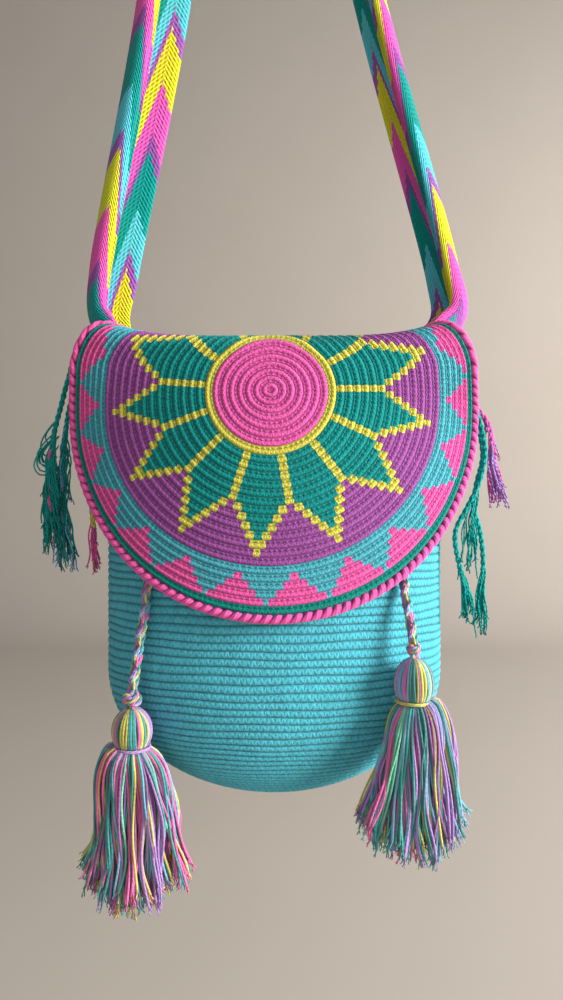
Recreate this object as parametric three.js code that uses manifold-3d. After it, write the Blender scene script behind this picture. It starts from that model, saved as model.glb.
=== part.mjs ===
// A crocheted drawstring shoulder bag with a round patterned flap, hanging by its woven strap.
// Millimetres, +Z up. The origin is where the strap hangs, on the inside of its top bend.
// The front of the bag faces -Y.

import * as THREE from "three";
import { mergeVertices } from "three/addons/utils/BufferGeometryUtils.js";
import Module from "manifold-3d";

const wasm = await Module();
wasm.setup();

// Where the bag hangs
const BAG_X = 18.5; // its middle, to the right of the hanging point
const BASE_Z = -796; // flat underside
const RIM_Z = -531; // rim at the middle of the front and of the back
const RIM_RISE = 21; // how far the strap pulls the rim up at both sides
const GAP = 0.3; // between pieces that touch

// Crocheted body: an oval pouch with a round bottom
const BODY_HALF_WIDTH = 104.5;
const BODY_HALF_DEPTH = 57;
const RIM_HALF_DEPTH = 45;
const PINCH_HEIGHT = 110; // below the rim, where it starts to narrow from front to back
const RISE_HEIGHT = 60; // below the rim, where its sides start to rise
const BOTTOM_HEIGHT = 78; // of the half oval that closes the pouch below
const BASE_HALF_WIDTH = 30; // of the flat that the full bag stands on
const WALL = 4;
const ROW = 4.75; // height of one crocheted row
const ROW_RELIEF = 0.7;
const BODY_COLUMNS = 20;

// Round flap, worked in rounds from its centre and folded over the mouth
const FLAP_CENTRE_Z = -553.5;
const FLAP_FRONT_Y = -63;
const FLAP_LEAN = 3.5; // how far its lower edge stands out past the fold
const FLAP_WRAP = 230; // radius of its curve around the front of the bag
const FLAP_THICKNESS = 3.5;
const FOLD_START = 19.7; // distance of the fold above the flap's centre
const FOLD_RADIUS = 7;
const INNER_ROUNDS = 21;
const INNER_ROUND = 4.66;
const OUTER_ROUNDS = 7;
const OUTER_ROUND = 3.8;
const ROUND_RELIEF = 0.55;
const FLAP_COLUMNS = 30;
const CORNER_LIFT = 15.5; // rise of the flap over the rim's ends
const CORNER_REACH = 104;
const FLAP_PINCH = 0.34; // share of its width taken in between the straps
const FLAP_EASE = 0.04; // share of its width taken in towards the fold

// Heights on the flat disc between which the flap is lifted, drawn in, narrowed or flattened
const CORNER_SPAN = { start: 5, full: 35, until: 60, end: 110 };
const PINCH_SPAN = { start: 10, full: 55, until: 62, end: 118 };
const EASE_START = -40;
const EASE_END = 15;
const FLATTEN_START = -40;
const FLATTEN_END = 70;

// Scalloped border around the flap
const EDGING_RADIUS = 2.7;
const EDGING_SCALLOPS = 45;

// Woven strap: a wide band curled lengthwise, open towards the inside of its loop
const BAND_THICKNESS = 3;
const BAND_WIDTH = 24; // of the drawn section, before it is stretched along the strap
const BAND_DEPTH = 40;
const STRAP_STEPS = 48;

// Drawstring through the eyelets below the rim, and the tassels on its two ends
const CORD_RADIUS = 3;
const EYELET_CLEARANCE = 0.5;
const EYELET_DROP = 14; // below the rim
const EYELET_RISE = 7; // of the eyelets towards the bag's sides
const EYELET_PAIRS = 8;
const WEAVE_REACH = 6.2; // how far the cord swings in and out of the wall
const CORD_SIDES = 8;
const SWING_CLEARANCE = 1; // between the two parts of a cord where it swings
const FRINGE_RADIUS = 1.8;
const STITCH_RADIUS = 0.7;
const SEAM_STANDOFF = 2.1; // of the strap's stitches, for the band's bend above its end

const FLAP_RADIUS = INNER_ROUNDS * INNER_ROUND + OUTER_ROUNDS * OUTER_ROUND;
const BOTTOM_CENTRE_Z = BASE_Z + BOTTOM_HEIGHT * Math.sqrt(1 - (BASE_HALF_WIDTH / BODY_HALF_WIDTH) ** 2);
const EDGING_RING = FLAP_RADIUS + 2 * GAP + EDGING_RADIUS;

const v3 = (x, y, z) => new THREE.Vector3(x, y, z);
const { lerp, smoothstep } = THREE.MathUtils;

// Yarn and cotton materials
function yarn(color) {
  return new THREE.MeshStandardMaterial({ color, roughness: 0.9, metalness: 0 });
}

const TURQUOISE = 0x4fc3d6;
const TEAL = 0x12807f;
const PINK = 0xe0609f;
const PURPLE = 0x8f4f9a;
const YELLOW = 0xcfc04a;

// Moves every vertex of a geometry with place(vertex, index) and joins the shared ones.
function deform(geometry, place) {
  const position = geometry.getAttribute("position");
  const vertex = new THREE.Vector3();
  for (let i = 0; i < position.count; i += 1) {
    vertex.fromBufferAttribute(position, i);
    position.setXYZ(i, ...place(vertex, i).toArray());
  }
  geometry.deleteAttribute("normal");
  geometry.deleteAttribute("uv");
  const joined = mergeVertices(geometry, 1e-4);
  joined.computeVertexNormals();
  return joined;
}

// A lathed solid squeezed to an oval. Each level has a half width, a half depth, a height and,
// where the surface is fluted, a share of its radius that the flutes take.
function ovalLathe(levels, columns, flutes = 0) {
  const profile = levels.map((level) => new THREE.Vector2(level.width, level.z));
  return deform(new THREE.LatheGeometry(profile, columns), (vertex, i) => {
    const level = levels[i % levels.length];
    const turn = Math.atan2(vertex.x, vertex.z);
    const swell = 1 + (level.flute ?? 0) * Math.cos(flutes * turn);
    const squeeze = level.width > 0 ? level.depth / level.width : 1;
    return v3(vertex.x * swell, -vertex.z * squeeze * swell, level.z);
  });
}

// A round tube along a hand-drawn route.
function tube(points, radius, steps, sides = CORD_SIDES) {
  const section = new THREE.Shape();
  for (let i = 0; i < sides; i += 1) {
    const turn = (2 * Math.PI * i) / sides;
    const corner = [radius * Math.cos(turn), radius * Math.sin(turn)];
    if (i === 0) section.moveTo(...corner);
    else section.lineTo(...corner);
  }
  section.closePath();
  const route = new THREE.CatmullRomCurve3(points, false, "centripetal");
  return new THREE.ExtrudeGeometry(section, { steps, extrudePath: route, bevelEnabled: false });
}

// Closed geometry to a solid and back, for joining and cutting.
function toSolid(geometry) {
  const bare = new THREE.BufferGeometry();
  const source = geometry.index ? geometry.toNonIndexed() : geometry;
  bare.setAttribute("position", source.getAttribute("position"));
  const joined = mergeVertices(bare, 1e-4);
  const mesh = new wasm.Mesh({
    numProp: 3,
    vertProperties: new Float32Array(joined.getAttribute("position").array),
    triVerts: new Uint32Array(joined.index.array),
  });
  return new wasm.Manifold(mesh);
}

function toGeometry(solid) {
  const mesh = solid.getMesh();
  const geometry = new THREE.BufferGeometry();
  geometry.setAttribute("position", new THREE.BufferAttribute(mesh.vertProperties, 3));
  geometry.setIndex(new THREE.BufferAttribute(mesh.triVerts, 1));
  geometry.computeVertexNormals();
  return geometry;
}

function piece(name, geometry, color) {
  const mesh = new THREE.Mesh(geometry, yarn(color));
  mesh.name = name;
  return mesh;
}

// The pouch's oval at a height, shrunk by an inset from its outer surface.
function ovalAt(z, inset = 0) {
  const depth = lerp(BODY_HALF_DEPTH, RIM_HALF_DEPTH, smoothstep(z, RIM_Z - PINCH_HEIGHT, RIM_Z));
  const below = Math.max(0, BOTTOM_CENTRE_Z - z) / (BOTTOM_HEIGHT - inset);
  const close = Math.sqrt(Math.max(0, 1 - below * below));
  return { width: (BODY_HALF_WIDTH - inset) * close, depth: (depth - inset) * close, z };
}

// How much the rim and what follows it rise at a place along the bag's width.
function rimRise(x, z) {
  const side = Math.min(1, Math.abs(x) / BODY_HALF_WIDTH);
  return RIM_RISE * side ** 6 * smoothstep(z, RIM_Z - RISE_HEIGHT, RIM_Z);
}

// Heights of the crocheted rows, spaced evenly along the pouch's side from the base to the rim.
function rowHeights() {
  const samples = 1200;
  const along = [];
  let length = 0;
  let last = ovalAt(BASE_Z);
  for (let i = 1; i <= samples; i += 1) {
    const next = ovalAt(lerp(BASE_Z, RIM_Z, i / samples));
    length += Math.hypot(next.width - last.width, next.z - last.z);
    along.push({ length, z: next.z });
    last = next;
  }
  const rows = Math.round(length / ROW);
  const heights = [];
  for (let i = 0; i <= 2 * rows; i += 1) {
    const reach = (length * i) / (2 * rows);
    heights.push(i === 0 ? BASE_Z : along.find((step) => step.length >= reach - 1e-6).z);
  }
  return heights;
}

// Centre line of the drawstring: a ring around the rim that passes in and out of the wall.
function drawstringRing(turn) {
  const z = RIM_Z - EYELET_DROP;
  const oval = ovalAt(z, WALL / 2);
  const place = v3(oval.width * Math.cos(turn), oval.depth * Math.sin(turn), z);
  const out = v3(Math.cos(turn) / oval.width, Math.sin(turn) / oval.depth, 0).normalize();
  const weave = THREE.MathUtils.clamp(1.6 * Math.cos(EYELET_PAIRS * turn), -1, 1);
  place.addScaledVector(out, WEAVE_REACH * weave);
  place.z += EYELET_RISE * Math.abs(Math.cos(turn)) ** 6;
  return { place, out };
}

function ringTube(radius) {
  const ring = 100;
  const torus = new THREE.TorusGeometry(ring, radius, CORD_SIDES, 64);
  return deform(torus, (vertex) => {
    const turn = Math.atan2(vertex.y, vertex.x);
    const { place, out } = drawstringRing(turn);
    const side = Math.hypot(vertex.x, vertex.y) - ring;
    return place.addScaledVector(out, side).add(v3(0, 0, vertex.z));
  });
}

// The pouch: ridged rows outside, a smooth lining side, a flat base, and eyelets for the cord.
function bagBody() {
  const levels = [{ width: 0, depth: 0, z: BASE_Z }];
  rowHeights().forEach((z, i) => {
    const oval = ovalAt(z);
    const relief = i % 2 === 1 ? ROW_RELIEF : 0;
    levels.push({ width: oval.width + relief, depth: oval.depth + relief, z });
  });
  const floor = BASE_Z + WALL;
  const insideHeights = [RIM_Z, RIM_Z - 25, RIM_Z - RISE_HEIGHT, RIM_Z - PINCH_HEIGHT, BOTTOM_CENTRE_Z];
  const insideBottom = [0.35, 0.6, 0.8, 0.92].map((share) => lerp(BOTTOM_CENTRE_Z, floor, share));
  [...insideHeights, ...insideBottom].forEach((z) => levels.push(ovalAt(z, WALL)));
  levels.push({ ...ovalAt(floor, WALL) });
  levels.push({ width: 0, depth: 0, z: floor });
  const pouch = deform(ovalLathe(levels, BODY_COLUMNS), (vertex) => {
    return v3(vertex.x, vertex.y, vertex.z + rimRise(vertex.x, vertex.z));
  });
  return toGeometry(toSolid(pouch).subtract(toSolid(ringTube(CORD_RADIUS + EYELET_CLEARANCE))));
}

// Rises softly from 0 to 1 at the start of a span and falls back to 0 at its end.
function within(value, span) {
  return smoothstep(value, span.start, span.full) * (1 - smoothstep(value, span.until, span.end));
}

// The middle surface of the draped flap, for a place across and up on the flat disc.
function flapSurface(across, up) {
  const eased = FLAP_EASE * smoothstep(up, EASE_START, EASE_END);
  const narrow = 1 - eased - FLAP_PINCH * within(up, PINCH_SPAN);
  const wrap = across / FLAP_WRAP;
  const x = FLAP_WRAP * Math.sin(wrap) * narrow;
  const flattened = smoothstep(up, FLATTEN_START, FLATTEN_END);
  const roundBack = FLAP_WRAP * (1 - Math.cos(wrap)) * (1 - flattened);
  const past = up - FOLD_START;
  const foldLength = (FOLD_RADIUS * Math.PI) / 2;
  const bend = THREE.MathUtils.clamp(past / FOLD_RADIUS, 0, Math.PI / 2);
  const hang = Math.min(past, 0);
  const back = Math.max(past - foldLength, 0);
  const lean = FLAP_LEAN * (hang / (FLAP_RADIUS + FOLD_START)) ** 2;
  const corner = CORNER_LIFT * (Math.abs(x) / CORNER_REACH) ** 4 * within(up, CORNER_SPAN);
  const y = FLAP_FRONT_Y - lean + FOLD_RADIUS * (1 - Math.cos(bend)) + back + roundBack;
  const z = FLAP_CENTRE_Z + FOLD_START + hang + FOLD_RADIUS * Math.sin(bend);
  return v3(x, y, z + corner);
}

// A point at a height off the flap's middle surface, on its outer side where positive.
function drape(across, up, height) {
  const step = 0.5;
  const right = flapSurface(across + step, up).sub(flapSurface(across - step, up));
  const upward = flapSurface(across, up + step).sub(flapSurface(across, up - step));
  const outward = right.cross(upward).normalize();
  return flapSurface(across, up).addScaledVector(outward, height);
}

// The flap: one ridge for each crocheted round, and a plain underside.
function flap() {
  const half = FLAP_THICKNESS / 2;
  const profile = [];
  const undersideRings = 11;
  for (let i = 0; i <= undersideRings; i += 1) {
    profile.push(new THREE.Vector2((FLAP_RADIUS * i) / undersideRings, -half));
  }
  const radii = [0];
  for (let i = 0; i < INNER_ROUNDS + OUTER_ROUNDS; i += 1) {
    const round = i < INNER_ROUNDS ? INNER_ROUND : OUTER_ROUND;
    const inner = radii[radii.length - 1];
    radii.push(inner + round / 2, inner + round);
  }
  for (let i = radii.length - 1; i >= 0; i -= 1) {
    const relief = i % 2 === 1 ? ROUND_RELIEF : 0;
    profile.push(new THREE.Vector2(radii[i], half - ROUND_RELIEF / 2 + relief));
  }
  const disc = new THREE.LatheGeometry(profile, FLAP_COLUMNS);
  const draped = deform(disc, (vertex) => drape(vertex.x, -vertex.z, vertex.y));
  const cut = toSolid(draped).subtract(toSolid(flapEdging(EDGING_RADIUS + GAP)));
  const bodies = cut.decompose().sort((a, b) => b.volume() - a.volume());
  return toGeometry(bodies[0]);
}

// The scalloped border worked around the flap's edge. It follows the straight sides of the
// flap's own outline, so that the two stay the same distance apart.
function flapEdging(radius) {
  const torus = new THREE.TorusGeometry(EDGING_RING, radius, 6, 2 * EDGING_SCALLOPS);
  const column = (2 * Math.PI) / FLAP_COLUMNS;
  return deform(torus, (vertex) => {
    const turn = Math.atan2(vertex.y, vertex.x);
    const scallop = 0.86 + 0.14 * Math.cos(EDGING_SCALLOPS * turn);
    const ring = EDGING_RING + (Math.hypot(vertex.x, vertex.y) - EDGING_RING) * scallop;
    const before = Math.floor(turn / column + 1e-6) * column;
    const ends = [before, before + column].map((end) => {
      return drape(ring * Math.cos(end), ring * Math.sin(end), vertex.z * scallop);
    });
    return ends[0].lerp(ends[1], (turn - before) / column);
  });
}

// Route of the strap, from the left side of the rim over the hanging point to the right side.
const STRAP_ROUTE = [
  v3(BAG_X - 100.5, 0, -529),
  v3(BAG_X - 102, 0, -516),
  v3(BAG_X - 106, 0, -498),
  v3(BAG_X - 102.3, 0, -470),
  v3(-51, 0, -291),
  v3(-27, 0, -60),
  v3(-19, 0, -12),
  v3(0, 0, 5),
  v3(19, 0, -12),
  v3(28, 0, -60),
  v3(77.5, 0, -291),
  v3(BAG_X + 106.8, 0, -470),
  v3(BAG_X + 111.5, 0, -498),
  v3(BAG_X + 101.5, 0, -516),
  v3(BAG_X + 100.5, 0, -529),
];

// The curled band's width and depth at each of those points.
const STRAP_WIDTHS = [18, 20, 24, 29, 32, 22, 12, 10, 12, 16, 17, 19, 21, 20, 18];
const STRAP_DEPTHS = [59, 52, 36, 30, 30, 46, 58, 60, 58, 46, 32, 30, 36, 52, 59];

function bandSection() {
  const section = new THREE.Shape();
  const half = BAND_WIDTH / 2;
  const outer = BAND_WIDTH;
  const inner = BAND_WIDTH - BAND_THICKNESS;
  const reach = BAND_DEPTH / 2;
  section.moveTo(-reach, half);
  const steps = 6;
  for (let i = 1; i <= steps; i += 1) {
    const turn = lerp(-Math.PI / 2, Math.PI / 2, i / steps);
    section.lineTo(reach * Math.sin(turn), half - outer * Math.cos(turn));
  }
  for (let i = steps; i >= 0; i -= 1) {
    const turn = lerp(-Math.PI / 2, Math.PI / 2, i / steps);
    section.lineTo((reach - BAND_THICKNESS) * Math.sin(turn), half - inner * Math.cos(turn));
  }
  section.closePath();
  return section;
}

function strap() {
  const route = new THREE.CatmullRomCurve3(STRAP_ROUTE, false, "centripetal");
  const swept = new THREE.ExtrudeGeometry(bandSection(), {
    steps: STRAP_STEPS,
    extrudePath: route,
    bevelEnabled: false,
  });
  const stations = [];
  for (let i = 0; i <= STRAP_STEPS; i += 1) {
    const share = route.getUtoTmapping(i / STRAP_STEPS);
    const reach = share * (STRAP_ROUTE.length - 1);
    const from = Math.min(Math.floor(reach), STRAP_ROUTE.length - 2);
    const place = route.getPoint(share);
    const inside = route.getTangent(share).cross(v3(0, -1, 0));
    const width = lerp(STRAP_WIDTHS[from], STRAP_WIDTHS[from + 1], reach - from);
    const depth = lerp(STRAP_DEPTHS[from], STRAP_DEPTHS[from + 1], reach - from);
    stations.push({ place, inside, width, depth });
  }
  return deform(swept, (vertex) => {
    let nearest = stations[0];
    stations.forEach((station) => {
      if (station.place.distanceTo(vertex) < nearest.place.distanceTo(vertex)) nearest = station;
    });
    const offset = vertex.clone().sub(nearest.place);
    const inward = (offset.dot(nearest.inside) * nearest.width) / BAND_WIDTH;
    const moved = nearest.place.clone().addScaledVector(nearest.inside, inward);
    return moved.add(v3(0, (offset.y * nearest.depth) / BAND_DEPTH, 0));
  });
}

// A row of slanted stitches: a fine cord that zigzags along a line given by place(share, high).
function stitches(count, place) {
  const points = [];
  for (let i = 0; i <= 2 * count; i += 1) {
    points.push(place(i / (2 * count), i % 2 === 1));
  }
  return tube(points, STITCH_RADIUS, 2 * count, 5);
}

// Stitches that hold the flap to the back of the rim.
function flapSeam() {
  const halfLength = 46;
  return stitches(12, (share, high) => {
    const x = lerp(-halfLength, halfLength, share);
    const oval = ovalAt(RIM_Z);
    const y = oval.depth * Math.sqrt(1 - (x / oval.width) ** 2);
    return v3(x, y + ROW_RELIEF + 2 * STITCH_RADIUS + GAP, RIM_Z + (high ? 2 : -6));
  });
}

// Stitches around the strap's end, on its outer face.
function strapSeam(side) {
  const clear = STITCH_RADIUS + GAP + SEAM_STANDOFF;
  const start = STRAP_ROUTE[0];
  return stitches(9, (share, high) => {
    const turn = lerp(-1.2, 1.2, share);
    const reach = STRAP_WIDTHS[0] + clear;
    const x = BAG_X - start.x - STRAP_WIDTHS[0] / 2 + reach * Math.cos(turn);
    const y = (STRAP_DEPTHS[0] / 2 + clear) * Math.sin(turn);
    return v3(side * x, y, start.z + (high ? 6 : 2));
  });
}

// What hangs at each side of the front: the pivot is where the cord comes out below the flap.
const TASSELS = {
  left: { side: -1, pivot: v3(-73, -45.3, -670), knot: v3(-79.8, -54, -729), head: 21.5, drop: 96.5 },
  right: { side: 1, pivot: v3(75, -45.3, -665), knot: v3(79.2, -54, -701), head: 23.5, drop: 95.5 },
};
const KNOT_RADIUS = 5.2;
const NECK_RADIUS = 8;
const BINDING_RADIUS = 1.2;

// The part of a drawstring end that lies between the body and the flap.
function hiddenEnd(tassel) {
  const { pivot, side } = tassel;
  const start = drawstringRing(side < 0 ? (-3 * Math.PI) / 4 : -Math.PI / 4).place;
  const points = [
    start.clone().add(v3(0, -2 * CORD_RADIUS - 1, -6)),
    v3(lerp(start.x, pivot.x, 0.3), pivot.y, start.z - 34),
    v3(lerp(start.x, pivot.x, 0.7), pivot.y, start.z - 78),
    v3(pivot.x, pivot.y, pivot.z + CORD_RADIUS + SWING_CLEARANCE),
  ];
  return tube(points, CORD_RADIUS, 10);
}

// The free part of a drawstring end, with a round top that turns about the pivot.
function freeEnd(tassel) {
  const { pivot, knot } = tassel;
  const end = knot.clone().add(v3(0, 0, KNOT_RADIUS + GAP));
  const middle = pivot.clone().lerp(end, 0.5).add(v3(0, -1, 0));
  const cord = toSolid(tube([pivot, middle, end], CORD_RADIUS, 6));
  const cap = new THREE.SphereGeometry(CORD_RADIUS, CORD_SIDES, 6);
  cap.rotateX(Math.PI / 2).translate(pivot.x, pivot.y, pivot.z);
  return toGeometry(cord.add(toSolid(deform(cap, (vertex) => vertex.clone()))));
}

// The bundle of yarn: a round head, a tied neck and a spreading, flattened skirt.
function tasselYarn(tassel) {
  const top = tassel.knot.z - KNOT_RADIUS - GAP;
  const neck = top - tassel.head;
  const end = neck - tassel.drop;
  const levels = [
    { width: 0, depth: 0, z: end },
    { width: 31, depth: 17, z: end + 2, flute: 0.1 },
    { width: 27, depth: 17, z: lerp(end, neck, 0.35), flute: 0.1 },
    { width: 24, depth: 15.5, z: lerp(end, neck, 0.66), flute: 0.08 },
    { width: 21.5, depth: 14, z: neck - 12, flute: 0.06 },
    { width: 16, depth: 12, z: neck - 5, flute: 0.05 },
    { width: NECK_RADIUS, depth: NECK_RADIUS, z: neck - 2 },
    { width: NECK_RADIUS, depth: NECK_RADIUS, z: neck + 2 },
    { width: 10.5, depth: 10.5, z: neck + 7, flute: 0.04 },
    { width: 11.8, depth: 11.5, z: lerp(neck, top, 0.6), flute: 0.04 },
    { width: 9.5, depth: 9.5, z: top - 2.5, flute: 0.04 },
    { width: 5.5, depth: 5.5, z: top },
    { width: 0, depth: 0, z: top },
  ];
  return ovalLathe(levels, 20, 10).translate(tassel.knot.x, tassel.knot.y, 0);
}

function tasselBinding(tassel) {
  const neck = tassel.knot.z - KNOT_RADIUS - GAP - tassel.head;
  const ring = NECK_RADIUS + GAP + BINDING_RADIUS;
  const torus = new THREE.TorusGeometry(ring, BINDING_RADIUS, 5, 16);
  torus.scale(1, 1, 1.5).translate(tassel.knot.x, tassel.knot.y, neck);
  return deform(torus, (vertex) => vertex.clone());
}

function tasselKnot(tassel) {
  const ball = new THREE.SphereGeometry(KNOT_RADIUS, 10, 7);
  ball.rotateX(Math.PI / 2).translate(tassel.knot.x, tassel.knot.y, tassel.knot.z);
  return deform(ball, (vertex) => vertex.clone());
}

// Loose warp ends of the strap that hang behind the flap's edge, each with its hand-drawn route.
const FRINGE = [
  ["left_fringe_front", TEAL, [v3(-115, -12, -532), v3(-122.5, -12, -525), v3(-127, -15, -543),
    v3(-130.5, -18, -560), v3(-135, -18, -578), v3(-138, -18, -608), v3(-139, -18, -642)]],
  ["left_fringe_middle", TEAL, [v3(-116, -6, -532), v3(-124, -11, -548), v3(-129, -12, -572),
    v3(-132, -12, -600), v3(-131, -12, -628), v3(-128, -12, -652)]],
  ["left_fringe_back", PINK, [v3(-116, 1, -532), v3(-118, -3, -562), v3(-117, -5, -600),
    v3(-114, -6, -630), v3(-111, -6, -654)]],
  ["right_fringe_front", TEAL, [v3(115, -12, -532), v3(121, -17, -552), v3(126.5, -18, -572),
    v3(129, -18, -588), v3(125.5, -18, -606), v3(118, -18, -622), v3(111, -18, -636),
    v3(112, -18, -651), v3(117, -18, -670)]],
  ["right_fringe_middle", TEAL, [v3(116, -6, -532), v3(122, -11, -556), v3(129, -13, -588),
    v3(124.5, -13, -610), v3(123.5, -13, -622), v3(127.6, -12, -637), v3(129.5, -12, -655),
    v3(128.5, -12, -671)]],
  ["right_fringe_back", PINK, [v3(116, 1, -532), v3(126, -3, -556), v3(134.5, -5, -569),
    v3(136.5, -6, -582), v3(138.5, -6, -600), v3(142, -6, -614)]],
];

const bag = new THREE.Group();
bag.position.x = BAG_X;
bag.add(piece("bag_body", bagBody(), TURQUOISE));
bag.add(piece("drawstring", ringTube(CORD_RADIUS), PURPLE));
bag.add(piece("flap_seam", flapSeam(), PINK));
bag.add(piece("left_strap_seam", strapSeam(-1), TEAL));
bag.add(piece("right_strap_seam", strapSeam(1), TEAL));
FRINGE.forEach(([name, color, route]) => bag.add(piece(name, tube(route, FRINGE_RADIUS, 9), color)));

const lid = new THREE.Group();
lid.add(piece("flap", flap(), TEAL));
lid.add(piece("flap_edging", flapEdging(EDGING_RADIUS), PINK));
bag.add(lid);

Object.entries(TASSELS).forEach(([name, tassel]) => {
  bag.add(piece(`${name}_drawstring`, hiddenEnd(tassel), PURPLE));
  const swing = new THREE.Group();
  swing.add(piece(`${name}_drawstring_end`, freeEnd(tassel), PURPLE));
  swing.add(piece(`${name}_tassel_knot`, tasselKnot(tassel), YELLOW));
  swing.add(piece(`${name}_tassel`, tasselYarn(tassel), TURQUOISE));
  swing.add(piece(`${name}_tassel_binding`, tasselBinding(tassel), YELLOW));
  bag.add(swing);
});

const shoulderBag = new THREE.Group();
shoulderBag.add(piece("strap", strap(), PINK));
shoulderBag.add(bag);

export default shoulderBag;
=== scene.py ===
# %% [markdown]
# # A crocheted shoulder bag, dressed around its frame
# The frame gives every piece of the bag as a plain solid, at its real size and in its place. This
# script gives each one its yarn: rows of crochet, a patterned flap, a woven strap, braided cords,
# tassels and fringe. All sizes are in metres in the frame's own axes, so nothing has to be fitted:
# +Z is up, the bag hangs below the origin, and its front faces -Y.

# %% Load the frame
import bisect
import random
from functools import partialmethod
from itertools import accumulate
from math import atan2, copysign, cos, floor, hypot, pi, radians, sin, sqrt

import bmesh
import bpy
from mathutils import Matrix, Vector


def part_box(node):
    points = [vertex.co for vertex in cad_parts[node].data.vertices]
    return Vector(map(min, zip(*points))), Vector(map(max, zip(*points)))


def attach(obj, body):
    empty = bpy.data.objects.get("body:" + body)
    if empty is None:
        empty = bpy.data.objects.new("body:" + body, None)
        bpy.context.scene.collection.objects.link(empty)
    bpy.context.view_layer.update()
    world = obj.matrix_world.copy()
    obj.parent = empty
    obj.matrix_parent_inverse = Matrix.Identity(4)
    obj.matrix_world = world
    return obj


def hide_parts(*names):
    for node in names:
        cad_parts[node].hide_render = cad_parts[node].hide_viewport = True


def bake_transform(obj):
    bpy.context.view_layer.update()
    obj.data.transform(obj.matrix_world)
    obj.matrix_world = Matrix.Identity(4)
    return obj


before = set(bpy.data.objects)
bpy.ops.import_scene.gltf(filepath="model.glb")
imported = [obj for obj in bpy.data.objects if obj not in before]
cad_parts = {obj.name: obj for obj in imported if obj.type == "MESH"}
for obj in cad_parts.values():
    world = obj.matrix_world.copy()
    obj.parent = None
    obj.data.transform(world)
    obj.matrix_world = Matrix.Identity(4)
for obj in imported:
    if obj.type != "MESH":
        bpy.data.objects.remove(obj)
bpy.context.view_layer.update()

MM = 0.001
TURN = 2 * pi

# %% [markdown]
# ## Camera
# The bag was pictured from close by and straight from the front, a little below the flap's middle,
# with the wide lens of a phone. A level camera keeps the upright lines upright, so it needs no shift.

# %% Camera
CAMERA_PLACE = Vector((23, -477, -617)) * MM
CAMERA_LENS = 27.0
CAMERA_NEAR = 10 * MM


def add_object(name, data):
    """A new object in the scene, made from its data."""
    made = bpy.data.objects.new(name, data)
    bpy.context.scene.collection.objects.link(made)
    return made


camera = add_object("camera", bpy.data.cameras.new("camera"))
camera.data.lens = CAMERA_LENS
camera.data.clip_start = CAMERA_NEAR
camera.location = CAMERA_PLACE
camera.rotation_euler = (radians(90), 0, 0)
bpy.context.scene.camera = camera
print("camera", round(camera.location.length, 3), "m from the hanging point")

# %% [markdown]
# ## Sums for shapes
# Most pieces here are soft, so their shape is a formula: a place on the piece goes in and a point in
# space comes out. These few sums are what the formulas share.

# %% Sums for shapes
TINY = 1e-9


def clamp(value, low=0.0, high=1.0):
    return min(high, max(low, value))


def lerp(start, end, share):
    return start + (end - start) * share


def smooth(value, start, end):
    """0 before start, 1 after end, with a soft rise between them."""
    share = clamp((value - start) / (end - start))
    return share * share * (3 - 2 * share)


def between(marks, value):
    """Which of the rising marks a value has passed, and its share of the way to the next one."""
    after = clamp(bisect.bisect_left(marks, value), 1, len(marks) - 1)
    share = (value - marks[after - 1]) / max(marks[after] - marks[after - 1], TINY)
    return after - 1, share


def lifted(surface, a, b, height, step_a, step_b):
    """The point that stands a height off surface(a, b), on the side that a to b turns towards."""
    across = surface(a + step_a, b) - surface(a - step_a, b)
    along = surface(a, b + step_b) - surface(a, b - step_b)
    return surface(a, b) + across.cross(along).normalized() * height


print("a quarter of the way, a soft rise is at", smooth(0.25, 0, 1))

# %% [markdown]
# ## Routes for cords
# A cord's route is a few points drawn one by one. A curve through them that doesn't overshoot, the
# centripetal kind, turns them into a smooth line, and points at even steps make an even tube.

# %% Routes for cords
def smooth_route(points, per_span=12):
    """Points on a curve through the given ones."""
    ends = [2 * points[0] - points[1], *points, 2 * points[-1] - points[-2]]
    route = []
    for p0, p1, p2, p3 in zip(ends, ends[1:], ends[2:], ends[3:]):
        t1 = sqrt((p1 - p0).length)
        t2 = t1 + sqrt((p2 - p1).length)
        t3 = t2 + sqrt((p3 - p2).length)
        for i in range(per_span):
            t = lerp(t1, t2, i / per_span)
            first = p0.lerp(p1, t / t1)
            second = p1.lerp(p2, (t - t1) / (t2 - t1))
            third = p2.lerp(p3, (t - t2) / (t3 - t2))
            before = first.lerp(second, t / t2)
            after = second.lerp(third, (t - t1) / (t3 - t1))
            route.append(before.lerp(after, (t - t1) / (t2 - t1)))
    route.append(points[-1].copy())
    return route


def distances(route):
    """How far along the route each of its points is."""
    steps = ((after - before).length for before, after in zip(route, route[1:]))
    return list(accumulate(steps, initial=0.0))


def even_route(route, step):
    """The same route with points about a step apart."""
    along = distances(route)
    count = max(2, round(along[-1] / step))
    even = []
    for i in range(count + 1):
        first, share = between(along, along[-1] * i / count)
        even.append(route[first].lerp(route[first + 1], share))
    return even


def frames_along(route):
    """A side and an up direction at every point, carried along so that a tube doesn't twist."""
    frames = []
    side = None
    for i in range(len(route)):
        tangent = (route[min(i + 1, len(route) - 1)] - route[max(i - 1, 0)]).normalized()
        side = tangent.orthogonal() if side is None else side
        side = (side - tangent * side.dot(tangent)).normalized()
        frames.append((side, tangent.cross(side)))
    return frames


def spoke(sides, turn):
    """The direction at a turn around a route, from the side and up directions of one point."""
    return sides[0] * cos(turn) + sides[1] * sin(turn)


print("a metre in steps of about 0.3 m:", distances(even_route([Vector(), Vector((1, 0, 0))], 0.3)))

# %% [markdown]
# ## Shader sums
# A finish is a small sum over the surface: which row, which stitch, which colour. Written as node
# links such sums are hard to read. A class that wraps a socket and knows the usual operators lets
# them be written as plain expressions, and one method makes every other kind of node.

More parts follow.
